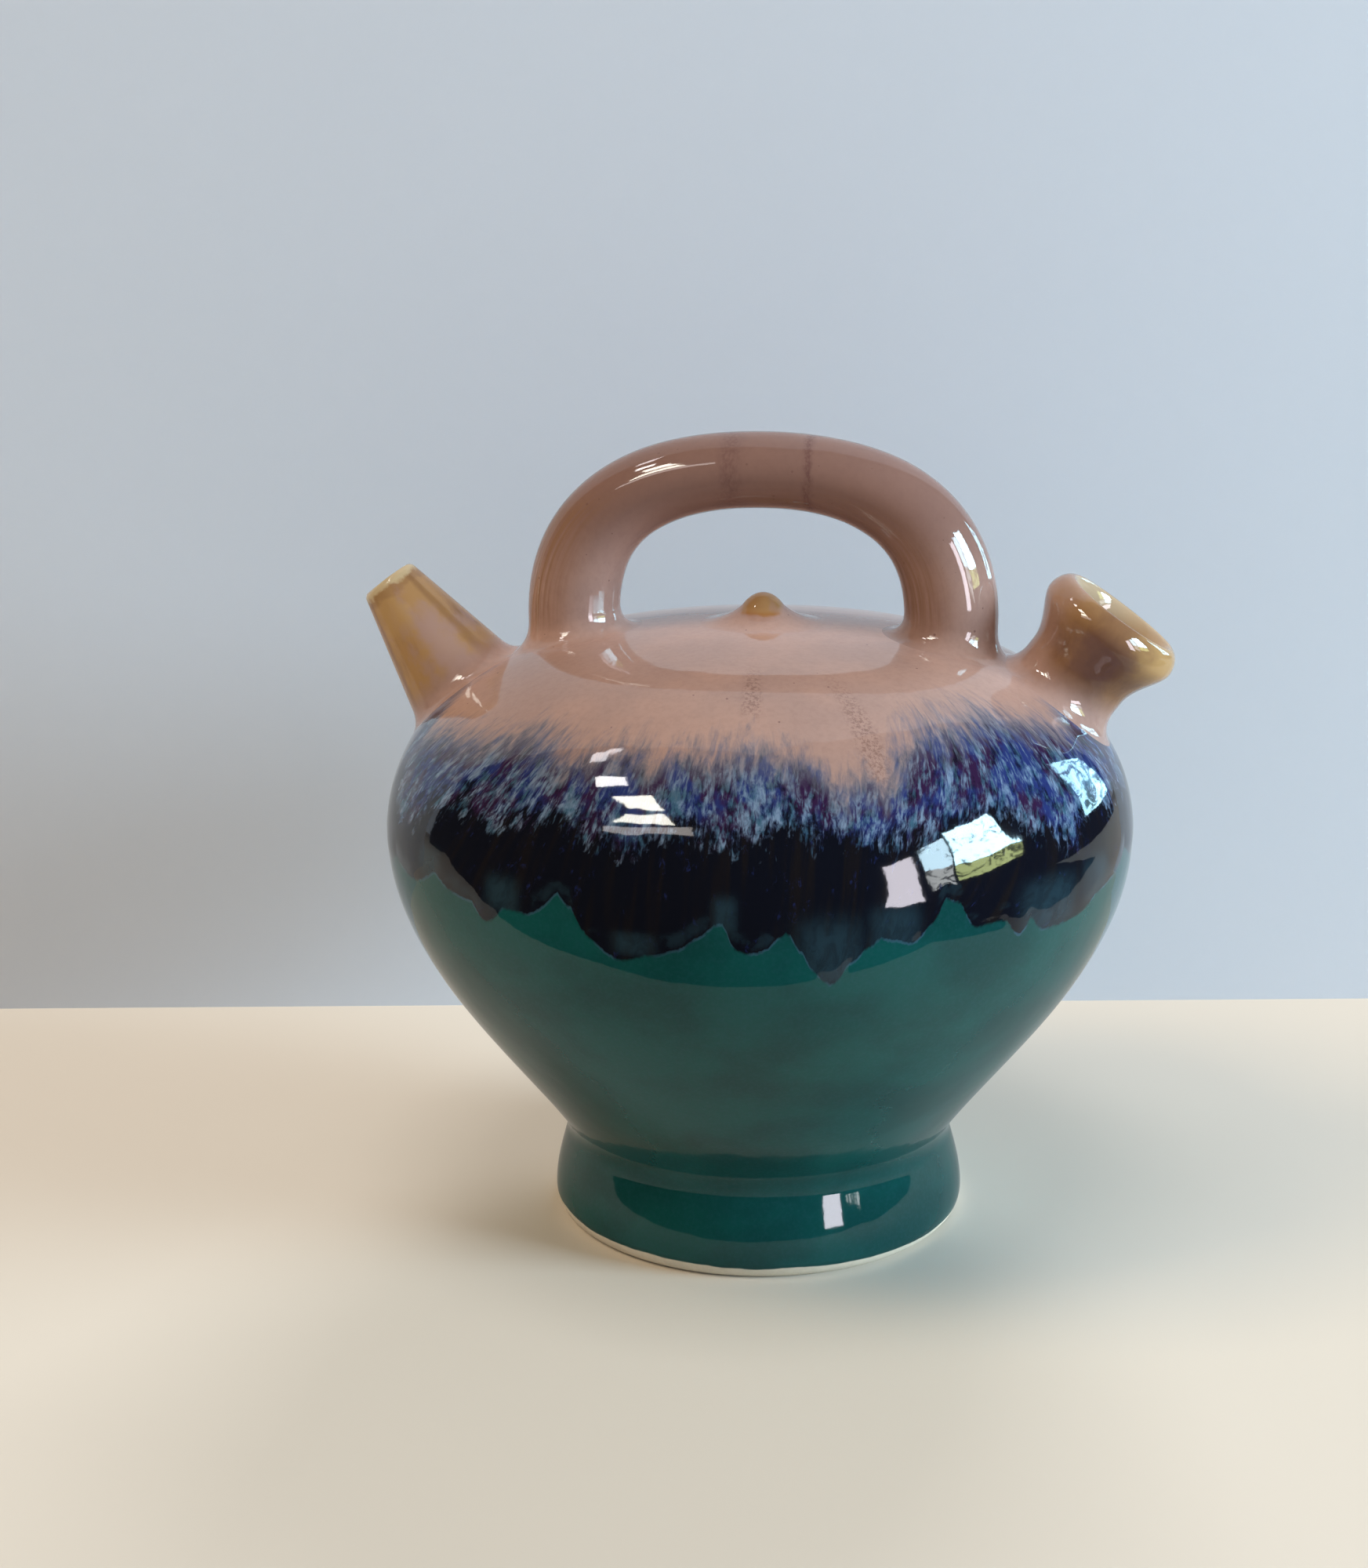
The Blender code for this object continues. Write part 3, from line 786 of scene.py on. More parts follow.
def skin_height(r, given):
    """Height of the fired skin: a soft unevenness and a few pinholes."""
    slow = r.cloud(given["Place"], 16, 16, detail=2.0)
    fine = r.times(r.cloud(given["Place"], 2.4, 2.4, detail=2.0), 0.05)
    pits = r.effect("glaze_specks", Place=given["Place"], Spacing=5.0, Share=given["Pits"])
    return r.plus(r.plus(slow, fine), r.times(pits, -0.35))


def mauve_mix(r, given):
    """Pinkish mauve glaze: cloudy, with warmer drifts and dark specks."""
    drifts = r.step(r.cloud(given["Place"], 24, 30), 0.36, 0.66)
    colour = r.mix(drifts, given["Mauve"], given["Rose"])
    mottle = r.step(r.cloud(given["Place"], 1.6, 2.2, roughness=0.7), 0.35, 0.75)
    colour = r.coat(colour, given["Speck"], mottle, 0.12)
    dots = r.effect("glaze_specks", Place=given["Place"], Spacing=1.5, Share=given["Specks"])
    return r.coat(colour, given["Speck"], dots, 0.55)


def amber_mix(r, given):
    """Amber glaze that goes brown in drifts and lets the mauve through in patches."""
    drift = r.cloud(given["Place"], 7, 13, detail=4.0, roughness=0.6, distortion=0.4)
    drift = r.plus(drift, r.times(given["Brownness"], 0.5))
    colour = r.mix(r.step(drift, 0.45, 0.78), given["Amber"], given["Brown"])
    patch = r.cloud(given["Place"], 8, 9, offset=(3.0, 7.0, 1.0))
    return r.coat(colour, given["Mauve"], r.step(patch, 0.50, 0.66), 0.6)


def teal_mix(r, given):
    """Teal glaze: slow drifts to a deeper teal, and a fine grain."""
    drift = r.cloud(given["Place"], 28, 20)
    colour = r.mix(r.step(drift, 0.35, 0.68), given["Teal"], given["Deep"])
    grain = r.step(r.cloud(given["Place"], 0.9, 0.9, detail=2.0, roughness=0.6), 0.40, 0.70)
    return r.coat(colour, given["Grain"], grain, 0.06)


# Each effect's maker, inputs and output.
SHARED_EFFECTS = {
    "glaze_specks": (
        specks_mask,
        {"Place": "Vector", "Spacing": "Float", "Share": "Float"},
        ("Mask", "Float"),
    ),
    "fired_skin": (skin_height, {"Place": "Vector", "Pits": "Float"}, ("Height", "Float")),
    "mauve_coat": (
        mauve_mix,
        {"Place": "Vector", "Mauve": "Color", "Rose": "Color", "Speck": "Color", "Specks": "Float"},
        ("Colour", "Color"),
    ),
    "amber_coat": (
        amber_mix,
        {"Place": "Vector", "Amber": "Color", "Brown": "Color", "Mauve": "Color", "Brownness": "Float"},
        ("Colour", "Color"),
    ),
    "teal_coat": (
        teal_mix,
        {"Place": "Vector", "Teal": "Color", "Deep": "Color", "Grain": "Color"},
        ("Colour", "Color"),
    ),
}


def shared_effect(name):
    """The node group of a shared effect, built the first time that a glaze asks for it."""
    if name in bpy.data.node_groups:
        return bpy.data.node_groups[name]
    maker, inputs, (result, result_kind) = SHARED_EFFECTS[name]
    tree = bpy.data.node_groups.new(name, "ShaderNodeTree")
    for label, kind in inputs.items():
        tree.interface.new_socket(label, in_out="INPUT", socket_type="NodeSocket" + kind)
    tree.interface.new_socket(result, in_out="OUTPUT", socket_type="NodeSocket" + result_kind)
    given = tree.nodes.new("NodeGroupInput").outputs
    target = tree.nodes.new("NodeGroupOutput").inputs[result]
    tree.links.new(maker(Recipe(tree), given), target)
    return tree


# Glazes. Places, heights and widths in them are in mm.


def new_glaze(name):
    """A glossy glaze material, its recipe, and the settings that it takes its colours from."""
    material = bpy.data.materials.new(name)
    material.use_nodes = True
    shader = material.node_tree.nodes["Principled BSDF"]
    for label, value in GLAZE_GLOSS.items():
        shader.inputs[label].default_value = value
    return material, Recipe(material.node_tree), jug_settings()


def fired(material, r, place, colour, roughness=None, pits=0.0):
    """The glaze with its colour on its shader, and a fired skin that moves the reflections a little."""
    inputs = material.node_tree.nodes["Principled BSDF"].inputs
    r.feed(inputs["Base Color"], colour)
    if roughness:
        r.feed(inputs["Roughness"], roughness)
    height = r.effect("fired_skin", Place=place, Pits=pits)
    bump = r.add("ShaderNodeBump", {"Height": height, "Strength": SKIN_STRENGTH, "Distance": SKIN_DEPTH})
    r.feed(inputs["Normal"], bump.outputs[0])
    return material


def mauve_colour(r, place, specks):
    """The mauve glaze in this jug's own colours."""
    s = jug_settings()
    return r.effect("mauve_coat", Place=place, Mauve=s.mauve, Rose=s.rose, Speck=s.speck, Specks=specks)


def teal_colour(r, place):
    """The teal glaze in this jug's own colours."""
    s = jug_settings()
    return r.effect("teal_coat", Place=place, Teal=s.teal, Deep=s.deep_teal, Grain=s.sea_blue)


def rooted(r, place, colour, low, high):
    """A colour that gives way to the mauve of the dome at its root, between two heights over it."""
    share = r.step(r.attribute("over_seat"), low, high)
    return r.mix(share, mauve_colour(r, place, 0.02), colour)


def running_glaze():
    """Body glaze: mauve above, breaking into streaked blues and a dark band that runs over teal."""
    material, r, s = new_glaze("running_glaze")
    place = r.place()
    streak = r.attribute("streak_place", "Vector")
    over_drip, over_dark, over_break = r.parts(r.attribute("glaze_lines", "Vector"))
    bead_share, dust_share, _ = r.parts(r.attribute("glaze_marks", "Vector"))
    feather = r.cloud(streak, 2.7, 4.6, detail=4.0, roughness=0.66, distortion=0.7)
    fibre = r.cloud(streak, 0.9, 2.3, roughness=0.6, distortion=0.6, offset=(9.0, 4.0, 2.0))
    patches = r.cloud(streak, 8, 8, roughness=0.6, offset=(1.0, 8.0, 5.0))
    clumps = r.cloud(streak, 6, 7, roughness=0.6, offset=(5.0, 3.0, 8.0))
    rows = r.cloud(streak, 3.4, 4.0, detail=4.0, roughness=0.65, offset=(6.0, 2.0, 9.0))

    def frayed(height, by_feathers, by_fibres):
        """Height over a line that the feathers and the fibres pull up and down."""
        return r.plus(height, r.plus(r.swing(feather, by_feathers), r.swing(fibre, by_fibres)))

    # The blues: deep blue and purple under pale streaks that gather in clumps and low down.
    blues = r.mix(r.step(patches, 0.43, 0.57), s.cobalt, s.plum)
    blues = r.coat(blues, s.night, r.step(rows, 0.50, 0.66), 0.8)
    pale = r.mix(r.step(rows, 0.40, 0.60), s.pale_blue, s.sea_blue)
    pale_share = r.plus(r.times(feather, 0.45), r.times(fibre, 0.55))
    pale_share = r.plus(pale_share, r.swing(r.step(over_dark, 14.0, 0.0), 0.05))
    pale_share = r.plus(pale_share, r.swing(clumps, 0.55))
    blues = r.coat(blues, pale, r.step(pale_share, 0.44, 0.66), 0.84)

    # The dark band, with brownish streaks and stray blue ones, that the blues sink into.
    dark = r.coat(s.night, s.umber, r.step(r.cloud(streak, 2.2, 30), 0.46, 0.70), 0.7)
    spots_of_blue = r.times(r.step(rows, 0.56, 0.70), r.step(fibre, 0.48, 0.66))
    dark = r.coat(dark, s.cobalt, spots_of_blue, 0.5)
    sunk = r.plus(frayed(over_dark, 16.0, 10.0), r.swing(patches, 16.0))
    upper = r.mix(r.step(sunk, -3.0, 3.0), dark, blues)

    # The mauve, with dusty patches, and the haze where it breaks.
    dust = r.step(r.cloud(place, 0.8, 1.3, detail=4.0, roughness=0.7), 0.44, 0.60)
    mauve = r.coat(mauve_colour(r, place, 0.02), s.taupe, r.times(dust_share, dust), 0.6)
    above = frayed(over_break, 13.0, 5.0)
    upper = r.coat(upper, s.haze, r.step(above, -8.0, 0.0), 0.72)
    upper = r.mix(r.step(above, -3.6, 4.2), upper, mauve)

    # The lower edge: glassy where the runs end, ragged, with a thin rim over the teal.
    ragged = r.plus(over_drip, r.swing(fibre, 1.1))
    thin = r.times(r.band(ragged, 0.0, 5.0, 2.0), r.step(patches, 0.47, 0.60))
    glassy = r.math("MAXIMUM", r.times(thin, 0.5), bead_share)
    smooth = r.plus(r.times(r.step(feather, 0.36, 0.60), 0.35), 0.55)
    upper = r.coat(upper, s.slate, glassy, smooth)
    colour = r.mix(r.step(ragged, -0.5, 0.5), teal_colour(r, place), upper)
    rim = r.times(r.band(ragged, -0.5, 0.5, 0.35), r.step(patches, 0.44, 0.56))
    return fired(material, r, place, r.coat(colour, s.sea_blue, rim, 0.4))


def foot_glaze():
    """Teal glaze over the foot, wiped off its standing edge."""
    material, r, s = new_glaze("foot_glaze")
    place = r.place()
    across, _, height = r.parts(place)
    clay = r.mix(r.cloud(place, 1.2, 1.2), s.clay, tuple(0.8 * c for c in s.clay))
    wiped = r.plus(r.plus(height, r.swing(r.cloud(place, 14, 14), 1.6)), r.times(across, 0.013))
    edge = s.bare_edge / MM
    glazed_share = r.step(wiped, edge - 0.25, edge + 0.1)
    roll = r.band(wiped, edge - 0.1, edge + 0.9, 0.4)
    teal = r.coat(teal_colour(r, place), s.deep_teal, roll, 0.5)
    roughness = r.between(glazed_share, 0.75, 0.05)
    return fired(material, r, place, r.mix(glazed_share, clay, teal), roughness)


def handle_glaze():
    """Mauve glaze on the handle, with brown streaks down its legs and dusky bands over its top."""
    material, r, s = new_glaze("handle_glaze")
    place = r.place()
    streak = r.attribute("streak_place", "Vector")
    over_seat = r.attribute("over_seat")
    across = r.parts(place)[0]
    colour = r.coat(mauve_colour(r, place, 0.05), s.taupe, r.step(over_seat, 2.0, 12.0), 0.16)
    colour = r.coat(colour, s.taupe, r.step(over_seat, 12.0, 31.0), 0.66)

    # Brown streaks down the left side of each leg, kept to that side as painted shade away from the right
    # lamp, and umber painted shade on the underside of the arch, fading in over its left part and reaching
    # down the inner side of the right leg.
    lines = r.step(r.cloud(streak, 0.9, 30, detail=4.0, roughness=0.65), 0.36, 0.66)
    # The streaks are real brown glaze; keeping them to the left side of each leg is painted shade on the
    # side away from the right lamp.
    shaded_side_streaks = r.times(lines, r.step(r.attribute("sideways"), 0.25, -0.75))
    colour = r.coat(colour, s.brown, r.times(shaded_side_streaks, r.band(over_seat, 1.0, 36.0, 8.0)), 0.75)
    # Painted shade: umber laid on the underside of the arch, fading out before the left leg.
    painted_inner_shade = r.times(r.step(r.parts(streak)[0], 1.0, -10.5), r.step(across, -36.0, -14.0))
    colour = r.coat(colour, s.umber_painted_shade, painted_inner_shade, 0.45)

    mottle = r.step(r.cloud(place, 0.7, 1.6, roughness=0.7), 0.25, 0.70)
    swerve = r.swing(r.cloud(place, 3, 3, detail=2.0), 2.4)
    for centre, width, strength in HANDLE_BANDS:
        aside = r.math("ABSOLUTE", r.plus(r.math("SUBTRACT", across, centre), swerve))
        colour = r.coat(colour, s.speck, r.times(r.step(aside, width, 0.0), mottle), strength)
    return fired(material, r, place, colour, pits=0.02)


def spout_glaze():
    """Amber glaze on the spout with a pale rim and a mauve root."""
    material, r, s = new_glaze("spout_glaze")
    place = r.place()
    streak = r.attribute("streak_place", "Vector")
    to_rim = r.attribute("to_rim")
    side = r.parts(streak)[1]
    cloud = r.swing(r.cloud(place, 5, 5), 9.0)
    cloudy_side = r.plus(side, cloud)
    colour = r.effect(
        "amber_coat", Place=streak, Amber=s.amber, Brown=s.brown, Mauve=s.mauve, Brownness=-0.1
    )
    yellow = r.times(r.band(cloudy_side, -8.5, 5.0, 4.0), r.step(to_rim, 17.0, 9.0))
    colour = r.coat(colour, s.honey, yellow, 0.75)
    patch = r.times(r.band(cloudy_side, 0.0, 11.0, 4.0), r.step(to_rim, 7.0, 15.0))
    colour = r.coat(colour, s.mauve, patch, 0.85)

    # Brown lines down both edges as they are seen from the front, and round the pale rim.
    edge = r.plus(r.math("ABSOLUTE", r.plus(side, -0.5)), r.times(cloud, 0.12))
    colour = r.coat(colour, s.brown, r.band(edge, 8.6, 11.4, 1.3), 0.55)
    ragged = r.plus(to_rim, r.times(r.cloud(place, 3.0, 3.0), 4.0))
    colour = r.coat(colour, s.brown, r.band(ragged, 3.0, 6.8, 1.6), 0.45)
    colour = r.mix(r.step(ragged, 4.6, 3.0), colour, s.cream)
    return fired(material, r, place, rooted(r, place, colour, 1.5, 7.0))


def mouth_glaze():
    """Amber brown glaze on the filling mouth, yellow on its lip and pale inside."""
    material, r, s = new_glaze("mouth_glaze")
    place = r.place()
    streak = r.attribute("streak_place", "Vector")
    to_rim = r.attribute("to_rim")
    side = r.plus(r.parts(streak)[1], r.swing(r.cloud(place, 6, 6), 8.0))
    colour = r.effect(
        "amber_coat", Place=streak, Amber=s.brown, Brown=s.chestnut, Mauve=s.brown, Brownness=0.1
    )
    patch = r.times(r.band(side, -6.0, 7.5, 4.0), r.band(to_rim, 2.0, 19.0, 5.0))
    colour = r.coat(colour, s.taupe, patch, 0.68)
    lower_lip = r.times(r.step(side, 2.5, 9.0), r.step(to_rim, 12.0, 4.0))
    colour = r.coat(colour, s.honey, lower_lip, 0.85)
    upper_lip = r.times(r.step(side, -2.0, -8.0), r.step(to_rim, 14.0, 3.0))
    colour = r.coat(colour, s.amber, upper_lip, 0.55)
    colour = r.coat(colour, s.mauve, r.step(side, -6.0, -12.0), 0.55)
    lining = r.mix(r.step(to_rim, 1.5, 7.0), s.cream, s.amber)
    lining = r.mix(0.35, lining, s.mauve)
    colour = r.mix(r.attribute("inside"), colour, lining)
    return fired(material, r, place, rooted(r, place, colour, 2.0, 9.0))


def nub_glaze():
    """Amber glaze on the nub, thin at its tip and mauve at its skirt."""
    material, r, s = new_glaze("nub_glaze")
    place = r.place()
    over_seat = r.attribute("over_seat")
    colour = r.effect(
        "amber_coat", Place=place, Amber=s.amber, Brown=s.amber, Mauve=s.mauve, Brownness=0.0
    )
    colour = r.coat(colour, s.rust, r.step(over_seat, 3.4, 2.4), 0.6)
    cloud = r.swing(r.cloud(place, 3, 3), 0.9)
    across = r.math("ABSOLUTE", r.math("SUBTRACT", r.parts(place)[0], NUB_OFF_CENTRE / MM))
    narrow = r.step(r.plus(across, cloud), 5.2, 4.0)
    share = r.times(r.step(r.plus(over_seat, cloud), 2.0, 2.6), narrow)
    return fired(material, r, place, r.mix(share, mauve_colour(r, place, 0.10), colour))


# Pieces.


def body_numbers(mesh):
    """Numbers for the running glaze: its lines, and a place twisted to lean the streaks."""
    points = mesh_points(mesh)
    keep_numbers(mesh, "glaze_lines", glaze_lines(points))
    angles = angles_of(points)
    slope = np.interp(angles, *np.array(STREAK_LEAN).T)
    height = points[:, 2] / MM
    radius = BELLY_RADIUS / MM
    upright_at = 120
    twisted = np.radians(angles) - slope * (height - upright_at) / radius
    place = np.column_stack([radius * np.sin(twisted), -radius * np.cos(twisted), height])
    keep_numbers(mesh, "streak_place", place)
    marks = np.zeros_like(points)
    for column, spots in ((0, BEADS), (1, DUST)):
        for angle, level, wide, tall in spots:
            turn = (angles - angle + 180) % 360 - 180
            spot = np.exp(-((turn / wide) ** 4) - ((height - level) / tall) ** 4)
            marks[:, column] = np.maximum(marks[:, column], spot)
    keep_numbers(mesh, "glaze_marks", marks)


def make_bowl(material):
    """Thrown bowl, outside and in, up to the luting line at the belly."""
    rows, normals = turned(bowl_outline(BOWL_ROWS)[1:], BODY_COLUMNS)
    rows = glazed(rows, normals)
    inner = moved(flank_outline(even(BOWL_INSIDE_ROWS)), -BOWL_WALL)
    inner[-1] = (BELLY_RADIUS - BOWL_WALL, BELLY_HEIGHT)
    inner = inner[::-1]
    floor_top = FLOOR_HEIGHT + FLOOR_THICKNESS
    start = inner[-1]
    turn = (start[0] - 0.5 * (start[1] - floor_top), floor_top)
    middle = (start[0] * 0.5, floor_top)
    well = curve(start, turn, middle, (0.0, floor_top), even(BOWL_FLOOR_ROWS))[1:-1]
    inside, _ = turned(np.vstack([inner, well]), BODY_COLUMNS)
    low_pole = (0.0, 0.0, FLOOR_HEIGHT + UNDERSIDE_RAISE)
    mesh = skin("glazed_bowl", np.vstack([rows, inside]), low_pole, (0.0, 0.0, floor_top))
    outward_faces(mesh)
    body_numbers(mesh)
    return finish_piece(mesh, "lower_body", material)


def make_hole_cutter(name, neck, radius):
    """Straight cutter for the hole through the dome under a neck."""
    low, high = -HOLE_CUTTER_REACH, HOLE_CUTTER_REACH
    rows = [neck.ring(radius, low), neck.ring(radius, high)]
    mesh = skin(name, rows, neck.centre(low), neck.centre(high))
    outward_faces(mesh)
    cutter = bpy.data.objects.new(name, mesh)
    bpy.context.scene.collection.objects.link(cutter)
    return cutter


def make_dome(material):
    """Thrown dome from the luting line to the crown, with its two holes."""
    rows, normals = turned(dome_outline(DOME_ROWS)[:-1], BODY_COLUMNS)
    rows = glazed(rows, normals)
    inner = moved(dome_outline(DOME_INSIDE_ROWS), -DOME_WALL)[:-1]
    inner[0] = (BELLY_RADIUS - DOME_WALL, BELLY_HEIGHT)
    inside, _ = turned(inner, BODY_COLUMNS)
    loop = np.vstack([inside[::-1], rows])
    inside_pole = (0.0, 0.0, CROWN_HEIGHT - DOME_WALL)
    mesh = skin("glazed_dome", loop, inside_pole, (0.0, 0.0, CROWN_HEIGHT - glaze_room()))
    outward_faces(mesh)
    raw = bpy.data.objects.new("raw_dome", mesh)
    bpy.context.scene.collection.objects.link(raw)
    helpers = [raw]
    for name, neck, radius in (
        ("mouth_hole", mouth_neck(), MOUTH_BORE_RADIUS),
        ("spout_hole", spout_neck(), SPOUT_HOLE_RADIUS),
    ):
        cutter = make_hole_cutter(name, neck, radius)
        helpers.append(cutter)
        boolean = raw.modifiers.new(name, "BOOLEAN")
        boolean.operation = "DIFFERENCE"
        boolean.solver = "EXACT"
        boolean.object = cutter
    bpy.context.view_layer.update()
    graph = bpy.context.evaluated_depsgraph_get()
    cut = bpy.data.meshes.new_from_object(raw.evaluated_get(graph))
    for helper in helpers:
        bpy.data.objects.remove(helper, do_unlink=True)
    cut.name = "glazed_dome_cut"
    body_numbers(cut)
    piece = finish_piece(cut, "upper_body", material)
    piece.name = "glazed_dome"
    return piece


def make_foot(material):
    """Turned foot ring with a round shoulder and a bare standing edge."""
    outer = curve(
        (FOOT_BASE_RADIUS, 0.0),
        (FOOT_BASE_RADIUS + 0.6 * (FOOT_RADIUS - FOOT_BASE_RADIUS), 0.12 * FOOT_WIDEST_HEIGHT),
        (FOOT_RADIUS, 0.5 * FOOT_WIDEST_HEIGHT),
        (FOOT_RADIUS, FOOT_WIDEST_HEIGHT),
        even(FOOT_ROWS),
    )
    shoulder = curve(
        (FOOT_RADIUS, FOOT_WIDEST_HEIGHT),
        (FOOT_RADIUS, FOOT_WIDEST_HEIGHT + 0.33 * (FOOT_TOP_HEIGHT - FOOT_WIDEST_HEIGHT)),
        (FOOT_TOP_RADIUS + FOOT_TOP_PULL_OUT, FOOT_TOP_HEIGHT - FOOT_TOP_PULL_DOWN),
        (FOOT_TOP_RADIUS, FOOT_TOP_HEIGHT),
        even(FOOT_ROWS),
    )[1:]
    outside = np.vstack([outer, shoulder])
    outside[1:] = moved(outside, -FOOT_INSET)[1:]
    columns = BODY_COLUMNS // 2
    rows, _ = turned(outside, columns)

    # The fillet lands on the bowl's flank with the flank's own slope.
    flank = flank_outline(even(FLANK_LOOKUP_STEPS))
    landing = int(np.argmin(np.abs(flank[:, 1] - CREASE_HEIGHT - jug_settings().foot_root)))
    flank_rows, flank_normals = turned(flank[landing - 4 : landing + 1], columns)
    flank_rows = glazed(flank_rows, flank_normals)
    end = flank_rows[-1] - flank_normals[-1] * SEAM_SINK
    first = rows[-1] + unit(rows[-1] - rows[-2]) * FOOT_FILLET_PULL
    second = end + unit(flank_rows[0] - flank_rows[-1]) * FOOT_FILLET_PULL
    fillet = np.array([bent(rows[-1], first, second, end, t) for t in even(12)[1:]])
    let_in = (end - flank_normals[-1] * LET_IN)[None]
    seat = moved(underside_outline(even(40)), -LET_IN)
    seat = seat[(seat[:, 0] > FOOT_INNER_RADIUS) & (seat[:, 0] < CREASE_RADIUS - LET_IN)][::-1]
    inner = np.array([
        (FOOT_INNER_RADIUS, FLOOR_HEIGHT + FOOT_INNER_OVERLAP),
        (FOOT_INNER_RADIUS, 0.5 * FLOOR_HEIGHT),
        (FOOT_INNER_RADIUS, FOOT_EDGE_ROUND),
        (FOOT_INNER_RADIUS + 0.3 * FOOT_EDGE_ROUND, 0.3 * FOOT_EDGE_ROUND),
        (FOOT_INNER_RADIUS + FOOT_EDGE_ROUND, 0.0),
    ])
    under, _ = turned(np.vstack([seat, inner]), columns)
    mesh = skin("glazed_foot", np.vstack([rows, fillet, let_in, under]))
    outward_faces(mesh)
    return finish_piece(mesh, "foot_ring", material)


def seat_numbers(mesh, streak_place, to_rim):
    """Numbers for a glaze on the dome's pieces: height over it, place in streaks, way to the rim."""
    keep_numbers(mesh, "over_seat", nearest_on_dome(mesh_points(mesh))[2] / MM)
    keep_numbers(mesh, "streak_place", streak_place / MM)
    keep_numbers(mesh, "to_rim", to_rim / MM)


def unrolled(angle, radius, along):
    """Places of a tube's points as if its axis were straight."""
    return np.column_stack([radius * np.cos(angle), radius * np.sin(angle), along])


def make_handle(material):
    """Pulled basket handle with both feet smoothed onto the dome."""
    tube = HandlePath(HANDLE_COLUMNS)
    reach = jug_settings().handle_root
    left_start, left_rows = root_rows(tube, 0.0, HANDLE_FOOT_SEARCH, reach)
    right_start, right_rows = root_rows(tube, tube.length, tube.length - HANDLE_FOOT_SEARCH, reach)
    stations = [left_start + (right_start - left_start) * share for share in even(HANDLE_ROWS)]
    rows = left_rows[::-1] + [tube.point(station) for station in stations] + right_rows
    mesh = skin("glazed_handle", rows, rows[0].mean(0), rows[-1].mean(0))
    outward_faces(mesh)
    stations = [left_start] * len(left_rows) + stations + [right_start] * len(right_rows)
    down = np.concatenate(stations + [[0.0, tube.length]])
    around = np.concatenate([np.tile(tube.angle, len(rows)), [0.0, 0.0]])
    seat_numbers(mesh, unrolled(around, HANDLE_DEPTH / 2, down), down)
    sideways = (mesh_points(mesh)[:, 0] - tube.centre(down)[:, 0]) / (HANDLE_LEG_THICKNESS / 2)
    keep_numbers(mesh, "sideways", sideways)
    return finish_piece(mesh, "handle", material)


def spout_outside():
    """Outline of the cone spout, as radius and length along its axis."""
    widen = math.tan(SPOUT_TAPER)
    tip = SPOUT_TIP_RADIUS - SPOUT_INSET
    low = (tip + (SPOUT_LENGTH + NECK_BELOW_SEAT) * widen, -NECK_BELOW_SEAT)
    return np.array([low, (tip + SPOUT_RIM_ROUND * widen, SPOUT_LENGTH - SPOUT_RIM_ROUND)])


def mouth_outside():
    """Outline of the mouth's outside up to its widest, as radius and length along its axis."""
    flare = MOUTH_LIP_LENGTH - MOUTH_WAIST_LENGTH
    neck = curve(
        (MOUTH_WAIST_RADIUS, MOUTH_WAIST_LENGTH),
        (MOUTH_WAIST_RADIUS, MOUTH_WAIST_LENGTH + 0.4 * flare),
        (MOUTH_LIP_RADIUS, MOUTH_LIP_LENGTH - 0.25 * flare),
        (MOUTH_LIP_RADIUS, MOUTH_LIP_LENGTH),
        even(40),
    )
    return np.vstack([[(MOUTH_WAIST_RADIUS, -NECK_BELOW_SEAT)], neck])


def spout_neck():
    """The spout's neck on its axis."""
    return LeaningNeck(SPOUT_SEAT_RADIUS, SPOUT_LEAN, -1, spout_outside(), NECK_COLUMNS)


def mouth_neck():
    """The mouth's neck on its axis."""
    return LeaningNeck(MOUTH_SEAT_RADIUS, MOUTH_LEAN, 1, mouth_outside(), NECK_COLUMNS)


def neck_mesh(name, neck, top, reach, rim, bore, rim_wave):
    """Hollow neck: its outside up to a length, the fillet onto the dome, and rim and bore as outlines."""
    start, fillet = root_rows(neck, -NECK_ROOT_SEARCH, top, reach)
    bottom = station_at(neck, -NECK_ROOT_SEARCH, top, -LET_IN)
    rings = [(neck.ring(radius, length), np.full(neck.columns, length)) for radius, length in rim[::-1]]
    for share in even(NECK_ROWS)[1:]:
        station = top + (start - top) * share
        rings.append((neck.point(station), station))
    rings += [(row, start) for row in fillet]
    first_inside = len(rings)
    for share in even(NECK_INSIDE_ROWS):
        station = bottom + (bore[0][1] - bottom) * share
        rings.append((neck.ring(bore[0][0], station), station))
    rings += [(neck.ring(radius, length), np.full(neck.columns, length)) for radius, length in bore[1:]]
    rows = np.array([row for row, _ in rings])
    along = np.array([station for _, station in rings])

    # The rim dips a little along the axis, more on some sides.
    near_rim = smooth_step(along, top + RIM_WAVE_FADE[0], top + RIM_WAVE_FADE[1])[..., None]
    wave = np.sin(2 * neck.angle + 0.6) + 0.5 * np.sin(3 * neck.angle + 2.0)
    rows = rows - neck.axis * (rim_wave * (1.5 + wave)[None, :, None] * near_rim)
    mesh = skin(name, rows)
    outward_faces(mesh)
    around = np.tile(neck.angle, len(rows))
    seat_numbers(mesh, unrolled(around, MOUTH_WAIST_RADIUS, along.ravel()), rim[-1][1] - along.ravel())
    inside = (np.arange(len(rows)) >= first_inside).astype(float)
    keep_numbers(mesh, "inside", np.repeat(inside, neck.columns))
    return mesh


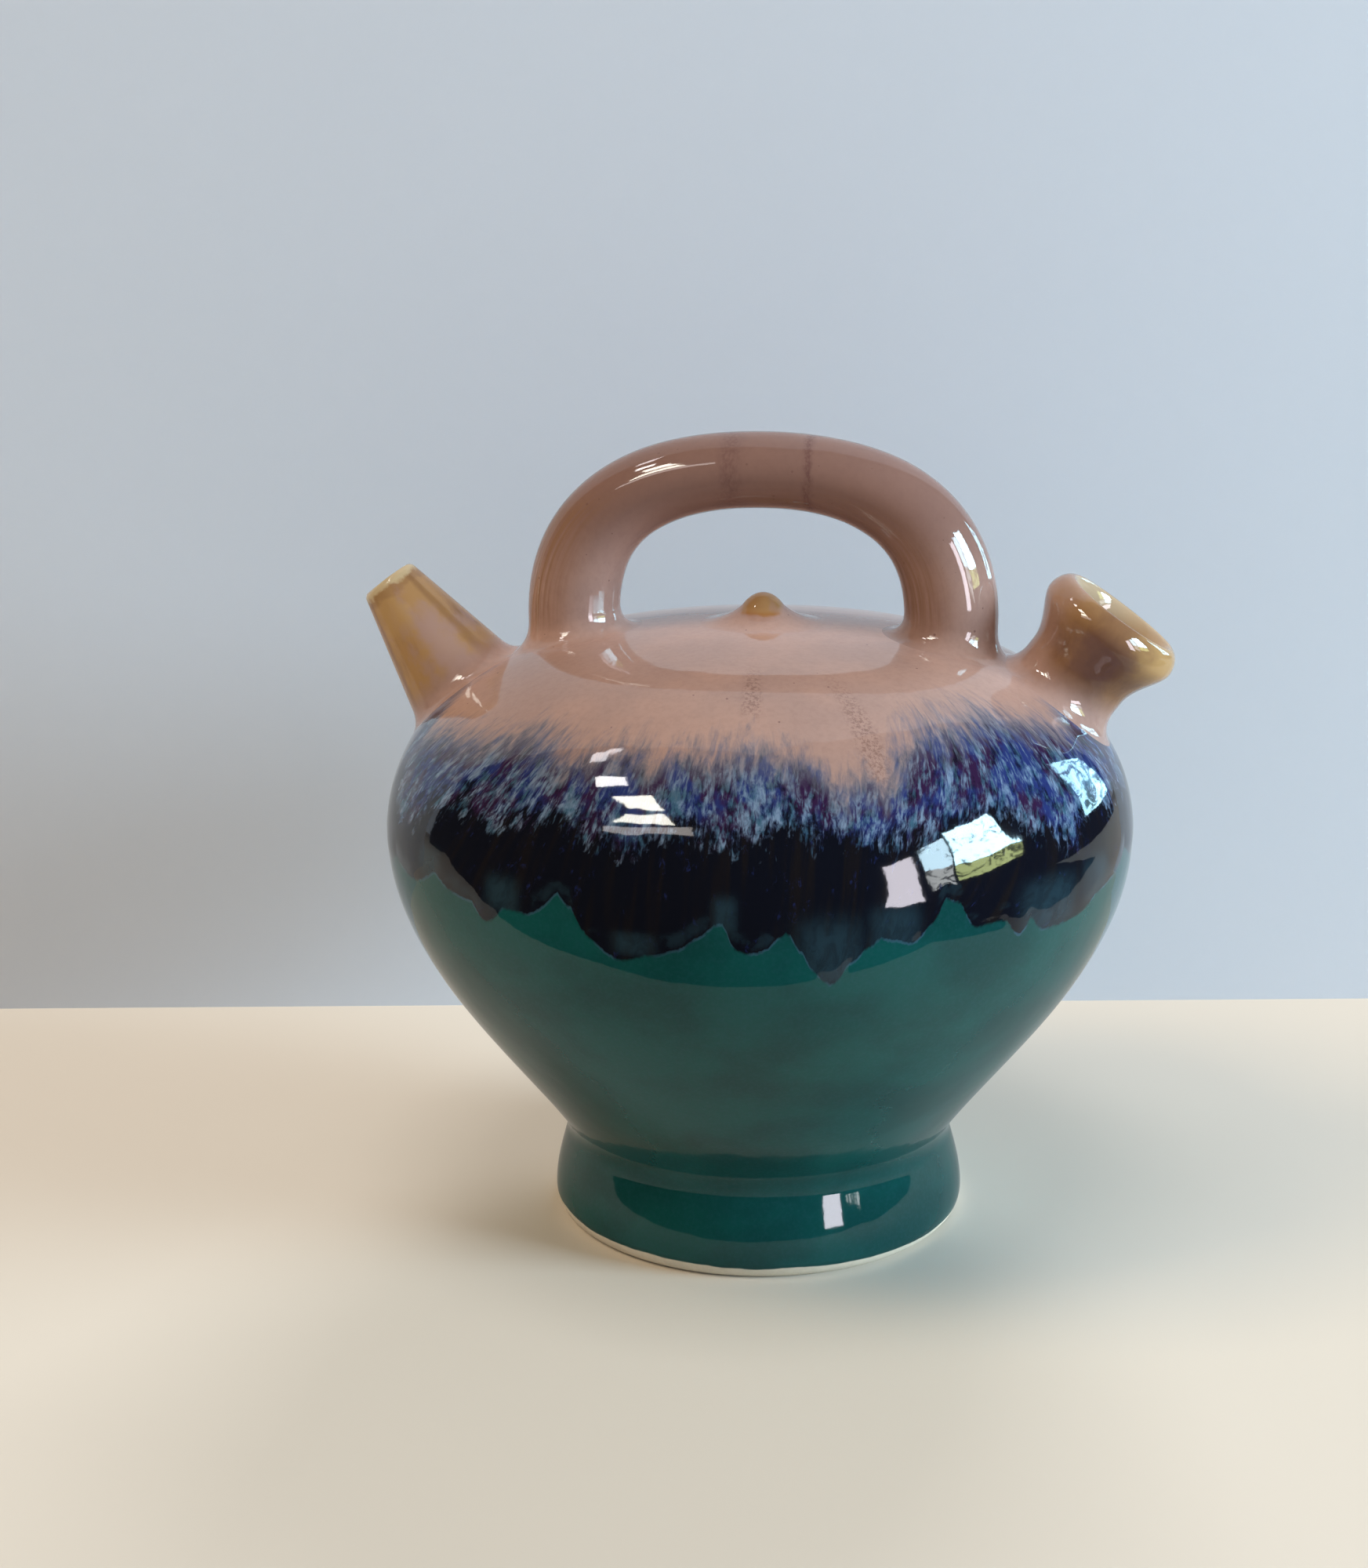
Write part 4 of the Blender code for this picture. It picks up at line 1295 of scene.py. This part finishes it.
def make_spout(material):
    """Cone spout with a soft rim and a narrow bore."""
    neck = spout_neck()
    top = SPOUT_LENGTH - SPOUT_RIM_ROUND
    widen = math.tan(SPOUT_TAPER)
    rim = curve(
        (SPOUT_TIP_RADIUS + SPOUT_RIM_ROUND * widen - SPOUT_INSET, top),
        (SPOUT_TIP_RADIUS + 0.1 * SPOUT_RIM_ROUND - SPOUT_INSET, top + 0.5 * SPOUT_RIM_ROUND),
        (SPOUT_TIP_RADIUS - 0.5 * SPOUT_RIM_ROUND, SPOUT_LENGTH),
        (SPOUT_TIP_RADIUS - SPOUT_RIM_ROUND, SPOUT_LENGTH),
        even(10),
    )
    wide = (SPOUT_HOLE_RADIUS, 0.0)
    narrow = (SPOUT_BORE_RADIUS, top)
    taper = curve(wide, *SPOUT_BORE_PULLS, narrow, even(10))
    rim_inside = curve(
        narrow,
        (SPOUT_BORE_RADIUS, SPOUT_LENGTH - 0.3 * SPOUT_RIM_ROUND),
        (SPOUT_BORE_RADIUS + 0.3 * SPOUT_RIM_ROUND, SPOUT_LENGTH),
        (SPOUT_BORE_RADIUS + 0.9 * SPOUT_RIM_ROUND, SPOUT_LENGTH),
        even(6),
    )
    bore = np.vstack([[wide], taper[1:], rim_inside[1:]])
    reach = jug_settings().spout_root
    mesh = neck_mesh("glazed_spout", neck, top, reach, rim, bore, SPOUT_RIM_WAVE)
    return finish_piece(mesh, "drinking_spout", material)


def make_mouth(material):
    """Collared filling mouth with a waist, a full lip and a funnel inside."""
    neck = mouth_neck()
    flare = MOUTH_LIP_LENGTH - MOUTH_WAIST_LENGTH
    roll = MOUTH_LENGTH - MOUTH_LIP_LENGTH
    rim = curve(
        (MOUTH_LIP_RADIUS, MOUTH_LIP_LENGTH),
        (MOUTH_LIP_RADIUS, MOUTH_LIP_LENGTH + 0.55 * roll),
        (MOUTH_RIM_RADIUS + 0.45 * (MOUTH_LIP_RADIUS - MOUTH_RIM_RADIUS), MOUTH_LENGTH),
        (MOUTH_RIM_RADIUS, MOUTH_LENGTH),
        even(24),
    )
    bore = curve(
        (MOUTH_BORE_RADIUS, MOUTH_WAIST_LENGTH),
        (MOUTH_BORE_RADIUS, MOUTH_LENGTH - 0.5 * flare),
        (MOUTH_RIM_RADIUS - MOUTH_RIM_PULL_IN, MOUTH_LENGTH - MOUTH_RIM_PULL_DOWN),
        (MOUTH_RIM_RADIUS, MOUTH_LENGTH),
        even(30),
    )[:-1]
    reach = jug_settings().mouth_root
    mesh = neck_mesh("glazed_mouth", neck, MOUTH_LIP_LENGTH, reach, rim, bore, MOUTH_RIM_WAVE)
    return finish_piece(mesh, "filling_mouth", material)


def make_nub(material):
    """Small pinched nub that fades into the crown."""
    edge = (0.98 * NUB_RADIUS, 0.60 * NUB_HEIGHT)
    cap_start = (0.48 * NUB_RADIUS, NUB_HEIGHT)
    cap_end = (0.80 * NUB_RADIUS, 0.76 * NUB_HEIGHT)
    cap = curve((0.0, NUB_HEIGHT), cap_start, cap_end, edge, even(24))
    skirt_start = (edge[0] + 0.19 * NUB_RADIUS, edge[1] - 0.17 * NUB_HEIGHT)
    skirt_end = (1.95 * NUB_RADIUS, 0.05 * NUB_HEIGHT)
    skirt = curve(edge, skirt_start, skirt_end, (jug_settings().nub_root, 0.0), even(28))
    rows, _ = turned(np.vstack([cap[1:], skirt[1:]]), NECK_COLUMNS)
    rows[..., 0] += NUB_OFF_CENTRE
    lift = rows[..., 2].copy()
    rows[..., 2] = CROWN_HEIGHT
    ground, normal, _ = nearest_on_dome(rows)
    ground = on_glaze(ground, normal)
    rows[..., 2] = ground[..., 2] + lift - SEAM_SINK
    tip = np.array([NUB_OFF_CENTRE, 0.0, ground[0, :, 2].mean() + NUB_HEIGHT])
    sunk = rows[-1] - [0.0, 0.0, LET_IN]
    rows = np.vstack([rows, sunk[None]])
    mesh = skin("glazed_nub", rows, tip, sunk.mean(0))
    outward_faces(mesh)
    points = mesh_points(mesh)
    seat_numbers(mesh, points, points[:, 2])
    return finish_piece(mesh, "top_nub", material)


# Stage.

# Camera, as it stood for the photograph. Its turn is yaw, pitch and roll.
CAMERA_LENS = 54.0
SENSOR_WIDTH = 36.0
CAMERA_PLACE = (0.0668, -0.5441, 0.2458)
CAMERA_TURN = (-0.154776, 0.250371, -0.007267)

# Wall behind the jug and floor under it.
WALL_POINT = (-0.039, 0.135)
WALL_TURN = math.radians(8.9)
WALL_LEFT = 0.37
WALL_RIGHT = 0.25
WALL_HEIGHT = 1.2
FLOOR_HALF = 3.0
FLOOR_LEVEL = -0.00005

# Cards and panes that only the gloss shows. The wall is seen between two angles, and the
# dark card stands round the rest.
ROOM_CENTRE = (0.0, 0.0, 0.1)
ROOM_RADIUS = 1.5
TABLE_FRONT = -0.160
WALL_SEEN_FROM = 140
WALL_SEEN_TO = 254
DARK_CARD_COLOUR = (0.030, 0.028, 0.030)
DARK_CARD_STEPS = (2.0, 4.0)
DARK_CARD_LOWEST = -6
DARK_FLOOR_EDGE = (
    (-2.0, 0.30), (-0.60, -0.07), (-0.10, TABLE_FRONT), (0.20, TABLE_FRONT), (0.55, 0.30), (2.0, 0.30),
)
DARK_FLOOR_FRONT = -2.0
DARK_FLOOR_LEVEL = 0.0006
# Painted shade: the table in the reflections is a darker copy of the floor.
SHADED_TABLE_COLOUR = (0.47, 0.45, 0.42)
TABLE_CARD_HOLE = 1.02 * FOOT_BASE_RADIUS
TABLE_CARD_RADIUS = 2.5
TABLE_CARD_LEVEL = 0.0004
TABLE_CARD_STEP = 5
PANE_STEPS = 6
PANE_RADIUS = 0.96 * ROOM_RADIUS
SKY_COLOUR = (0.96, 0.98, 1.0)

# Leaves before a pane: grain, how much of the pane they leave, their softness and brightness.
LEAF_GRAIN = 150
LEAF_EDGE = 0.62
LEAF_REACH = 0.2
LEAF_SOFTNESS = 0.04
LEAF_BRIGHTNESS = 0.12

# The stage's matte finishes: grain of their cloudiness, its two shades, and their roughness.
MATTE_GRAIN = 220
MATTE_DEEPER = 0.985
MATTE_PALER = 1.02
FLOOR_ROUGHNESS = 0.6
BACKDROP_ROUGHNESS = 0.9

# Lamps: angle, elevation and colour. Their powers are the settings of the same names.
LAMPS = (
    ("right_lamp", 81, 15, (0.70, 0.88, 1.0)),
    ("left_lamp", -60, 50, (1.0, 0.75, 0.48)),
    ("top_lamp", -10, 78, (1.0, 0.95, 0.90)),
    ("back_lamp", 172, 38, (1.0, 0.97, 0.96)),
)
LAMP_AIM = (0.0, 0.0, 0.08)
LAMP_DISTANCE = 2.2
LAMP_SIZE = 0.9

# Window panes as seen from the jug: corners as (angle, elevation), strength, colour, leafiness.
WINDOW_PANES = (
    ("pane_left", ((43, -7), (53, -5), (52, 21), (43, 17)), 19.0, (0.95, 0.90, 1.0), 0.0),
    ("pane_middle_low", ((56, 1), (64, -1), (65, 12), (55, 11)), 11.0, (0.90, 0.95, 0.95), 0.5),
    ("pane_middle", ((55, 11), (65, 12), (66, 26), (54, 23)), 28.0, (0.60, 0.85, 1.0), 0.2),
    ("pane_right_low", ((66, 3), (87, 6), (88, 13), (66, 11)), 13.0, (0.75, 0.88, 0.38), 0.6),
    ("pane_right", ((66, 11), (88, 13), (86, 30), (67, 28)), 52.0, (0.52, 0.84, 1.0), 0.2),
    ("pane_far", ((120, 5), (139, 2), (137, 16), (124, 27)), 16.0, (0.42, 0.80, 1.0), 0.7),
    ("slat_low", ((-43, 34), (-16, 40), (-18, 45), (-44, 37)), 7.0, (1.0, 0.92, 0.88), 0.0),
    ("slat_third", ((-43, 40), (-24, 45), (-30, 50), (-43, 45)), 28.0, (1.0, 0.97, 0.85), 0.0),
    ("slat_second", ((-45, 48), (-31, 52), (-44, 57), (-55, 52)), 31.0, (1.0, 0.97, 0.85), 0.0),
    ("slat_first", ((-64, 54), (-58, 58), (-67, 61), (-74, 56)), 27.0, (1.0, 0.97, 0.95), 0.0),
    ("slat_top", ((-90, 57), (-88, 62), (-101, 65), (-97, 58)), 13.0, (1.0, 0.95, 0.98), 0.0),
)


def direction(angle, elevation):
    """Unit vector from the jug at an angle round it and an elevation."""
    a, e = math.radians(angle), math.radians(elevation)
    return np.array([math.sin(a) * math.cos(e), -math.cos(a) * math.cos(e), math.sin(e)])


def glowing(name, colour, strength, leafiness=0.0):
    """A glowing material for cards, broken by leafy shapes where leafiness is over 0."""
    material = bpy.data.materials.new(name)
    material.use_nodes = True
    tree = material.node_tree
    tree.nodes.clear()
    r = Recipe(tree)
    if leafiness > 0:
        look = {"detail": 6.0, "roughness": 0.75, "distortion": 1.5}
        leaves = r.cloud(r.place(), LEAF_GRAIN, LEAF_GRAIN, **look)
        edge = LEAF_EDGE - LEAF_REACH * leafiness
        share = r.step(leaves, edge, edge + LEAF_SOFTNESS)
        colour = r.mix(share, colour, tuple(LEAF_BRIGHTNESS * c for c in colour))
    glow = r.add("ShaderNodeEmission", {"Color": colour, "Strength": strength})
    r.add("ShaderNodeOutputMaterial", {"Surface": glow.outputs[0]})
    material.cycles.emission_sampling = "NONE"
    return material


def add_stage_mesh(name, points, faces, material):
    """A mesh that belongs to the stage."""
    mesh = bpy.data.meshes.new(name)
    mesh.from_pydata([tuple(p) for p in points], [], faces)
    mesh.materials.append(material)
    obj = bpy.data.objects.new(name, mesh)
    bpy.context.scene.collection.objects.link(obj)
    return obj


def only_in_gloss(obj):
    """Let a card show in reflections and nowhere else."""
    obj.visible_camera = False
    obj.visible_diffuse = False
    obj.visible_transmission = False
    obj.visible_shadow = False
    obj.visible_volume_scatter = False


def add_curved_card(name, spots, radius, material):
    """A card round the stage that only the gloss shows, from a grid of angles and elevations."""
    count, columns = spots.shape[:2]
    points = [np.array(ROOM_CENTRE) + direction(*spot) * radius for spot in spots.reshape(-1, 2)]
    starts = [i * columns + j for i in range(count - 1) for j in range(columns - 1)]
    faces = [(k, k + 1, k + columns + 1, k + columns) for k in starts]
    only_in_gloss(add_stage_mesh(name, points, faces, material))


def add_window_pane(name, corners, strength, colour, leafiness):
    """A bright card between four directions."""
    first, second, third, fourth = (np.array(corner, float) for corner in corners)
    share = even(PANE_STEPS)
    u, v = share[:, None, None], share[None, :, None]
    spots = (1 - u) * (1 - v) * first + u * (1 - v) * second + u * v * third + (1 - u) * v * fourth
    add_curved_card(name, spots, PANE_RADIUS, glowing(name, colour, strength, leafiness))


def add_dark_room():
    """Dark cards round the front of the stage and on its floor, for the glaze to reflect."""
    material = glowing("dark_card", DARK_CARD_COLOUR, 1.0)
    angle_step, elevation_step = DARK_CARD_STEPS
    angles = np.arange(WALL_SEEN_TO - 360, WALL_SEEN_FROM + 1, angle_step)
    elevations = np.arange(DARK_CARD_LOWEST, 90 + 1, elevation_step)
    spots = np.stack(np.meshgrid(angles, elevations, indexing="ij"), axis=-1)
    add_curved_card("dark_card", spots, ROOM_RADIUS, material)
    edge = [(x, y, DARK_FLOOR_LEVEL) for x, y in DARK_FLOOR_EDGE]
    front = [(x, DARK_FLOOR_FRONT, DARK_FLOOR_LEVEL) for x, _ in DARK_FLOOR_EDGE]
    count = len(edge)
    quads = [(k, k + 1, k + 1 + count, k + count) for k in range(count - 1)]
    only_in_gloss(add_stage_mesh("dark_floor_card", edge + front, quads, material))


def add_table_card():
    """The table as the glaze shows it: a copy of the floor a shade darker, painted shade of the table near
    the jug in the reflections.
    """
    round_about = np.array([direction(angle, 0) for angle in range(0, 360, TABLE_CARD_STEP)])
    points = np.vstack([round_about * TABLE_CARD_HOLE, round_about * TABLE_CARD_RADIUS])
    points[:, 2] = TABLE_CARD_LEVEL
    count = len(round_about)
    quads = [(k, (k + 1) % count, (k + 1) % count + count, k + count) for k in range(count)]
    material, _, _ = matte("table_card", SHADED_TABLE_COLOUR, BACKDROP_ROUGHNESS)
    only_in_gloss(add_stage_mesh("table_card", points, quads, material))


def matte(name, colour, roughness):
    """A plain matte material for the stage, with a faint cloudiness."""
    material = bpy.data.materials.new(name)
    material.use_nodes = True
    shader = material.node_tree.nodes["Principled BSDF"]
    shader.inputs["Roughness"].default_value = roughness
    r = Recipe(material.node_tree)
    paler = tuple(min(1.0, c * MATTE_PALER) for c in colour)
    deeper = tuple(c * MATTE_DEEPER for c in colour)
    cloud = r.cloud(r.place(), MATTE_GRAIN, MATTE_GRAIN)
    r.feed(shader.inputs["Base Color"], r.mix(cloud, deeper, paler))
    return material, r, shader


def add_floor():
    """Plain pale floor."""
    material, _, _ = matte("floor_finish", jug_settings().floor_colour, FLOOR_ROUGHNESS)
    corners = ((-1, -1), (1, -1), (1, 1), (-1, 1))
    points = [(x * FLOOR_HALF, y * FLOOR_HALF, FLOOR_LEVEL) for x, y in corners]
    add_stage_mesh("floor", points, [(0, 1, 2, 3)], material)


def add_backdrop():
    """Plain pale backdrop behind the jug, clear when it is looked at from behind."""
    colour = jug_settings().backdrop_colour
    material, r, shader = matte("backdrop_finish", colour, BACKDROP_ROUGHNESS)
    clear = r.add("ShaderNodeBsdfTransparent")
    behind = r.add("ShaderNodeNewGeometry").outputs["Backfacing"]
    blend = r.add("ShaderNodeMixShader", {0: behind, 1: shader.outputs[0], 2: clear.outputs[0]})
    r.feed(material.node_tree.nodes["Material Output"].inputs["Surface"], blend.outputs[0])
    along = Vector((math.cos(WALL_TURN), math.sin(WALL_TURN), 0.0))
    middle = Vector((*WALL_POINT, 0.0))
    up = Vector((0.0, 0.0, WALL_HEIGHT))
    left, right = middle - along * WALL_LEFT, middle + along * WALL_RIGHT
    wall = add_stage_mesh("backdrop", [left, right, right + up, left + up], [(0, 1, 2, 3)], material)
    wall.visible_diffuse = False
    wall.visible_shadow = False


def add_world():
    """Even pale surroundings, weaker as a light than as they are seen."""
    s = jug_settings()
    world = bpy.data.worlds.new("pale_room")
    bpy.context.scene.world = world
    world.use_nodes = True
    world.node_tree.nodes.clear()
    r = Recipe(world.node_tree)
    path = r.add("ShaderNodeLightPath").outputs
    seen = r.math("MAXIMUM", path["Is Camera Ray"], path["Is Glossy Ray"])
    seen = r.math("MAXIMUM", seen, path["Is Transmission Ray"])
    colour = r.mix(seen, SKY_COLOUR, s.room_colour)
    strength = r.between(seen, s.world_light, 1.0)
    background = r.add("ShaderNodeBackground", {"Color": colour, "Strength": strength})
    r.add("ShaderNodeOutputWorld", {"Surface": background.outputs[0]})


def add_lamp(name, angle, elevation, colour):
    """A soft square lamp that looks at the jug."""
    lamp = bpy.data.lights.new(name, "AREA")
    lamp.shape = "SQUARE"
    lamp.size = LAMP_SIZE
    lamp.energy = getattr(jug_settings(), name)
    lamp.color = colour
    obj = bpy.data.objects.new(name, lamp)
    bpy.context.scene.collection.objects.link(obj)
    way = Vector(direction(angle, elevation))
    obj.location = Vector(LAMP_AIM) + way * LAMP_DISTANCE
    obj.rotation_mode = "QUATERNION"
    obj.rotation_quaternion = way.to_track_quat("Z", "Y")
    obj.visible_glossy = False
    obj.visible_camera = False


def add_camera():
    """Camera at the photograph's viewing angle."""
    yaw, pitch, roll = CAMERA_TURN
    level = Vector((math.sin(yaw), math.cos(yaw), 0.0))
    right = Vector((math.cos(yaw), -math.sin(yaw), 0.0))
    up = Vector((0.0, 0.0, 1.0))
    forward = level * math.cos(pitch) - up * math.sin(pitch)
    upward = level * math.sin(pitch) + up * math.cos(pitch)
    rolled_right = right * math.cos(roll) + upward * math.sin(roll)
    rolled_up = upward * math.cos(roll) - right * math.sin(roll)
    data = bpy.data.cameras.new("front_camera")
    data.lens = CAMERA_LENS
    data.sensor_width = SENSOR_WIDTH
    camera = bpy.data.objects.new("front_camera", data)
    bpy.context.scene.collection.objects.link(camera)
    turn = Matrix((rolled_right, rolled_up, -forward)).transposed()
    camera.matrix_world = Matrix.Translation(CAMERA_PLACE) @ turn.to_4x4()
    bpy.context.scene.camera = camera


# Settings, as the sidebar shows them.


def colour_setting(name, description, default):
    """A colour that the panel shows."""
    return FloatVectorProperty(
        name=name, description=description, default=default, size=3, min=0.0, max=1.0, subtype="COLOR"
    )


def size_setting(name, description, default):
    """A length that the panel shows."""
    return FloatProperty(
        name=name, description=description, default=default, min=0.0, max=0.03, precision=5, unit="LENGTH"
    )


def power_setting(name, description, default):
    """A lamp's power that the panel shows."""
    return FloatProperty(name=name, description=description, default=default, min=0.0, unit="POWER")


class GlazedJugSettings(bpy.types.PropertyGroup):
    """Sizes and colours of the jug's glazes and of its stage."""

    run_thickness: size_setting("Run thickness", "How far the dark runs stand off the body", 0.00024)
    hand_depth: size_setting("Hand unevenness", "Depth of the unevenness left by throwing", 0.00010)
    handle_root: size_setting("Handle root", "Reach of the fillet at the handle's feet", 0.0055)
    spout_root: size_setting("Spout root", "Reach of the fillet under the spout", 0.0034)
    mouth_root: size_setting("Mouth root", "Reach of the fillet under the mouth", 0.0052)
    foot_root: size_setting("Foot root", "Height of the fillet between the foot and the bowl", 0.0021)
    nub_root: size_setting("Nub root", "How far round the nub its skirt reaches", 0.0150)
    bare_edge: size_setting("Bare edge", "Height of the wiped clay at the foot", 0.0031)
    mauve: colour_setting("Mauve", "Main colour of the dome and handle", (0.400, 0.262, 0.225))
    rose: colour_setting("Rose", "Warmer drifts in the mauve", (0.455, 0.290, 0.240))
    taupe: colour_setting("Taupe", "Dusky mauve over the handle and mouth", (0.180, 0.095, 0.080))
    # Painted shade: the umber that is laid under the handle's arch.
    umber_painted_shade: colour_setting("Umber shade", "Brown under the handle", (0.120, 0.062, 0.045))
    speck: colour_setting("Speck", "Dark specks in the mauve", (0.115, 0.050, 0.052))
    brown: colour_setting("Brown", "Brown where the amber lies thick", (0.262, 0.142, 0.074))
    chestnut: colour_setting("Chestnut", "Darkest brown of the mouth", (0.165, 0.082, 0.048))
    rust: colour_setting("Rust", "Orange brown at the nub's edge", (0.360, 0.150, 0.040))
    amber: colour_setting("Amber", "Amber glaze on the spout and mouth", (0.430, 0.255, 0.115))
    honey: colour_setting("Honey", "Yellow on the mouth's lip", (0.490, 0.310, 0.135))
    cream: colour_setting("Cream", "Pale rim of the spout", (0.560, 0.450, 0.280))
    haze: colour_setting("Haze", "Grey lilac at the edge of the blues", (0.165, 0.175, 0.225))
    pale_blue: colour_setting("Pale blue", "Palest streaks", (0.215, 0.320, 0.465))
    sea_blue: colour_setting("Sea blue", "Greenish blue streaks", (0.055, 0.140, 0.220))
    cobalt: colour_setting("Cobalt", "Deep blue between the streaks", (0.020, 0.034, 0.150))
    plum: colour_setting("Plum", "Purple between the streaks", (0.030, 0.012, 0.048))
    night: colour_setting("Night", "Dark band over the teal", (0.004, 0.005, 0.010))
    umber: colour_setting("Umber", "Brownish streaks in the dark band", (0.010, 0.008, 0.008))
    slate: colour_setting("Slate", "Glassy thick glaze at the runs' ends", (0.018, 0.042, 0.060))
    teal: colour_setting("Teal", "Glaze of the lower body and foot", (0.005, 0.077, 0.074))
    deep_teal: colour_setting("Deep teal", "Where the teal lies thick", (0.004, 0.053, 0.052))
    clay: colour_setting("Clay", "Bare clay at the standing edge", (0.800, 0.740, 0.620))
    floor_colour: colour_setting("Floor", "Colour of the floor", (0.735, 0.700, 0.635))
    backdrop_colour: colour_setting("Backdrop", "Colour of the backdrop", (0.600, 0.655, 0.745))
    room_colour: colour_setting("Room", "Colour of the surroundings as seen", (0.580, 0.650, 0.740))
    world_light: FloatProperty(
        name="Surroundings", description="Strength of their light", default=0.17, min=0.0, max=2.0
    )
    right_lamp: power_setting("Right lamp", "Power of the lamp on the mouth's side", 58.0)
    left_lamp: power_setting("Left lamp", "Power of the lamp on the spout's side", 20.0)
    top_lamp: power_setting("Top lamp", "Power of the lamp over the jug", 11.5)
    back_lamp: power_setting("Back lamp", "Power of the lamp behind the jug", 22.0)


# Operators.


class JUG_OT_make_body(bpy.types.Operator):
    """Make the bowl and the dome under one running glaze"""

    bl_idname = "jug.make_body"
    bl_label = "Make the body"

    def execute(self, context):
        material = running_glaze()
        make_bowl(material)
        make_dome(material)
        return {"FINISHED"}


class JUG_OT_make_foot(bpy.types.Operator):
    """Make the foot ring"""

    bl_idname = "jug.make_foot"
    bl_label = "Make the foot"

    def execute(self, context):
        make_foot(foot_glaze())
        return {"FINISHED"}


class JUG_OT_make_handle(bpy.types.Operator):
    """Make the basket handle"""

    bl_idname = "jug.make_handle"
    bl_label = "Make the handle"

    def execute(self, context):
        make_handle(handle_glaze())
        return {"FINISHED"}


class JUG_OT_make_necks(bpy.types.Operator):
    """Make the drinking spout and the filling mouth"""

    bl_idname = "jug.make_necks"
    bl_label = "Make the spout and mouth"

    def execute(self, context):
        make_spout(spout_glaze())
        make_mouth(mouth_glaze())
        return {"FINISHED"}


class JUG_OT_make_nub(bpy.types.Operator):
    """Make the nub on the crown"""

    bl_idname = "jug.make_nub"
    bl_label = "Make the nub"

    def execute(self, context):
        make_nub(nub_glaze())
        return {"FINISHED"}


class JUG_OT_make_stage(bpy.types.Operator):
    """Make the floor, backdrop, surroundings, lamps and camera"""

    bl_idname = "jug.make_stage"
    bl_label = "Make the stage"

    def execute(self, context):
        add_floor()
        add_backdrop()
        add_world()
        add_dark_room()
        add_table_card()
        for pane in WINDOW_PANES:
            add_window_pane(*pane)
        for lamp in LAMPS:
            add_lamp(*lamp)
        add_camera()
        context.scene.view_settings.view_transform = "Standard"
        return {"FINISHED"}


class JUG_PT_panel(bpy.types.Panel):
    """Settings and steps of the glazed jug"""

    bl_idname = "JUG_PT_panel"
    bl_label = "Glazed jug"
    bl_space_type = "VIEW_3D"
    bl_region_type = "UI"
    bl_category = "Jug"

    def draw(self, context):
        for step in STEPS:
            self.layout.operator(step.bl_idname)
        for name in GlazedJugSettings.__annotations__:
            self.layout.prop(context.scene.glazed_jug, name)


STEPS = (
    JUG_OT_make_body,
    JUG_OT_make_foot,
    JUG_OT_make_handle,
    JUG_OT_make_necks,
    JUG_OT_make_nub,
    JUG_OT_make_stage,
)


def register():
    """Make the settings, steps and panel known."""
    for kind in (GlazedJugSettings, *STEPS, JUG_PT_panel):
        bpy.utils.register_class(kind)
    bpy.types.Scene.glazed_jug = PointerProperty(type=GlazedJugSettings)


def unregister():
    """Take them back."""
    del bpy.types.Scene.glazed_jug
    for kind in reversed((GlazedJugSettings, *STEPS, JUG_PT_panel)):
        bpy.utils.unregister_class(kind)


def main():
    """Make every piece."""
    register()
    bpy.ops.jug.make_body()
    bpy.ops.jug.make_foot()
    bpy.ops.jug.make_handle()
    bpy.ops.jug.make_necks()
    bpy.ops.jug.make_nub()
    bpy.ops.jug.make_stage()


if __name__ == "__main__":
    main()
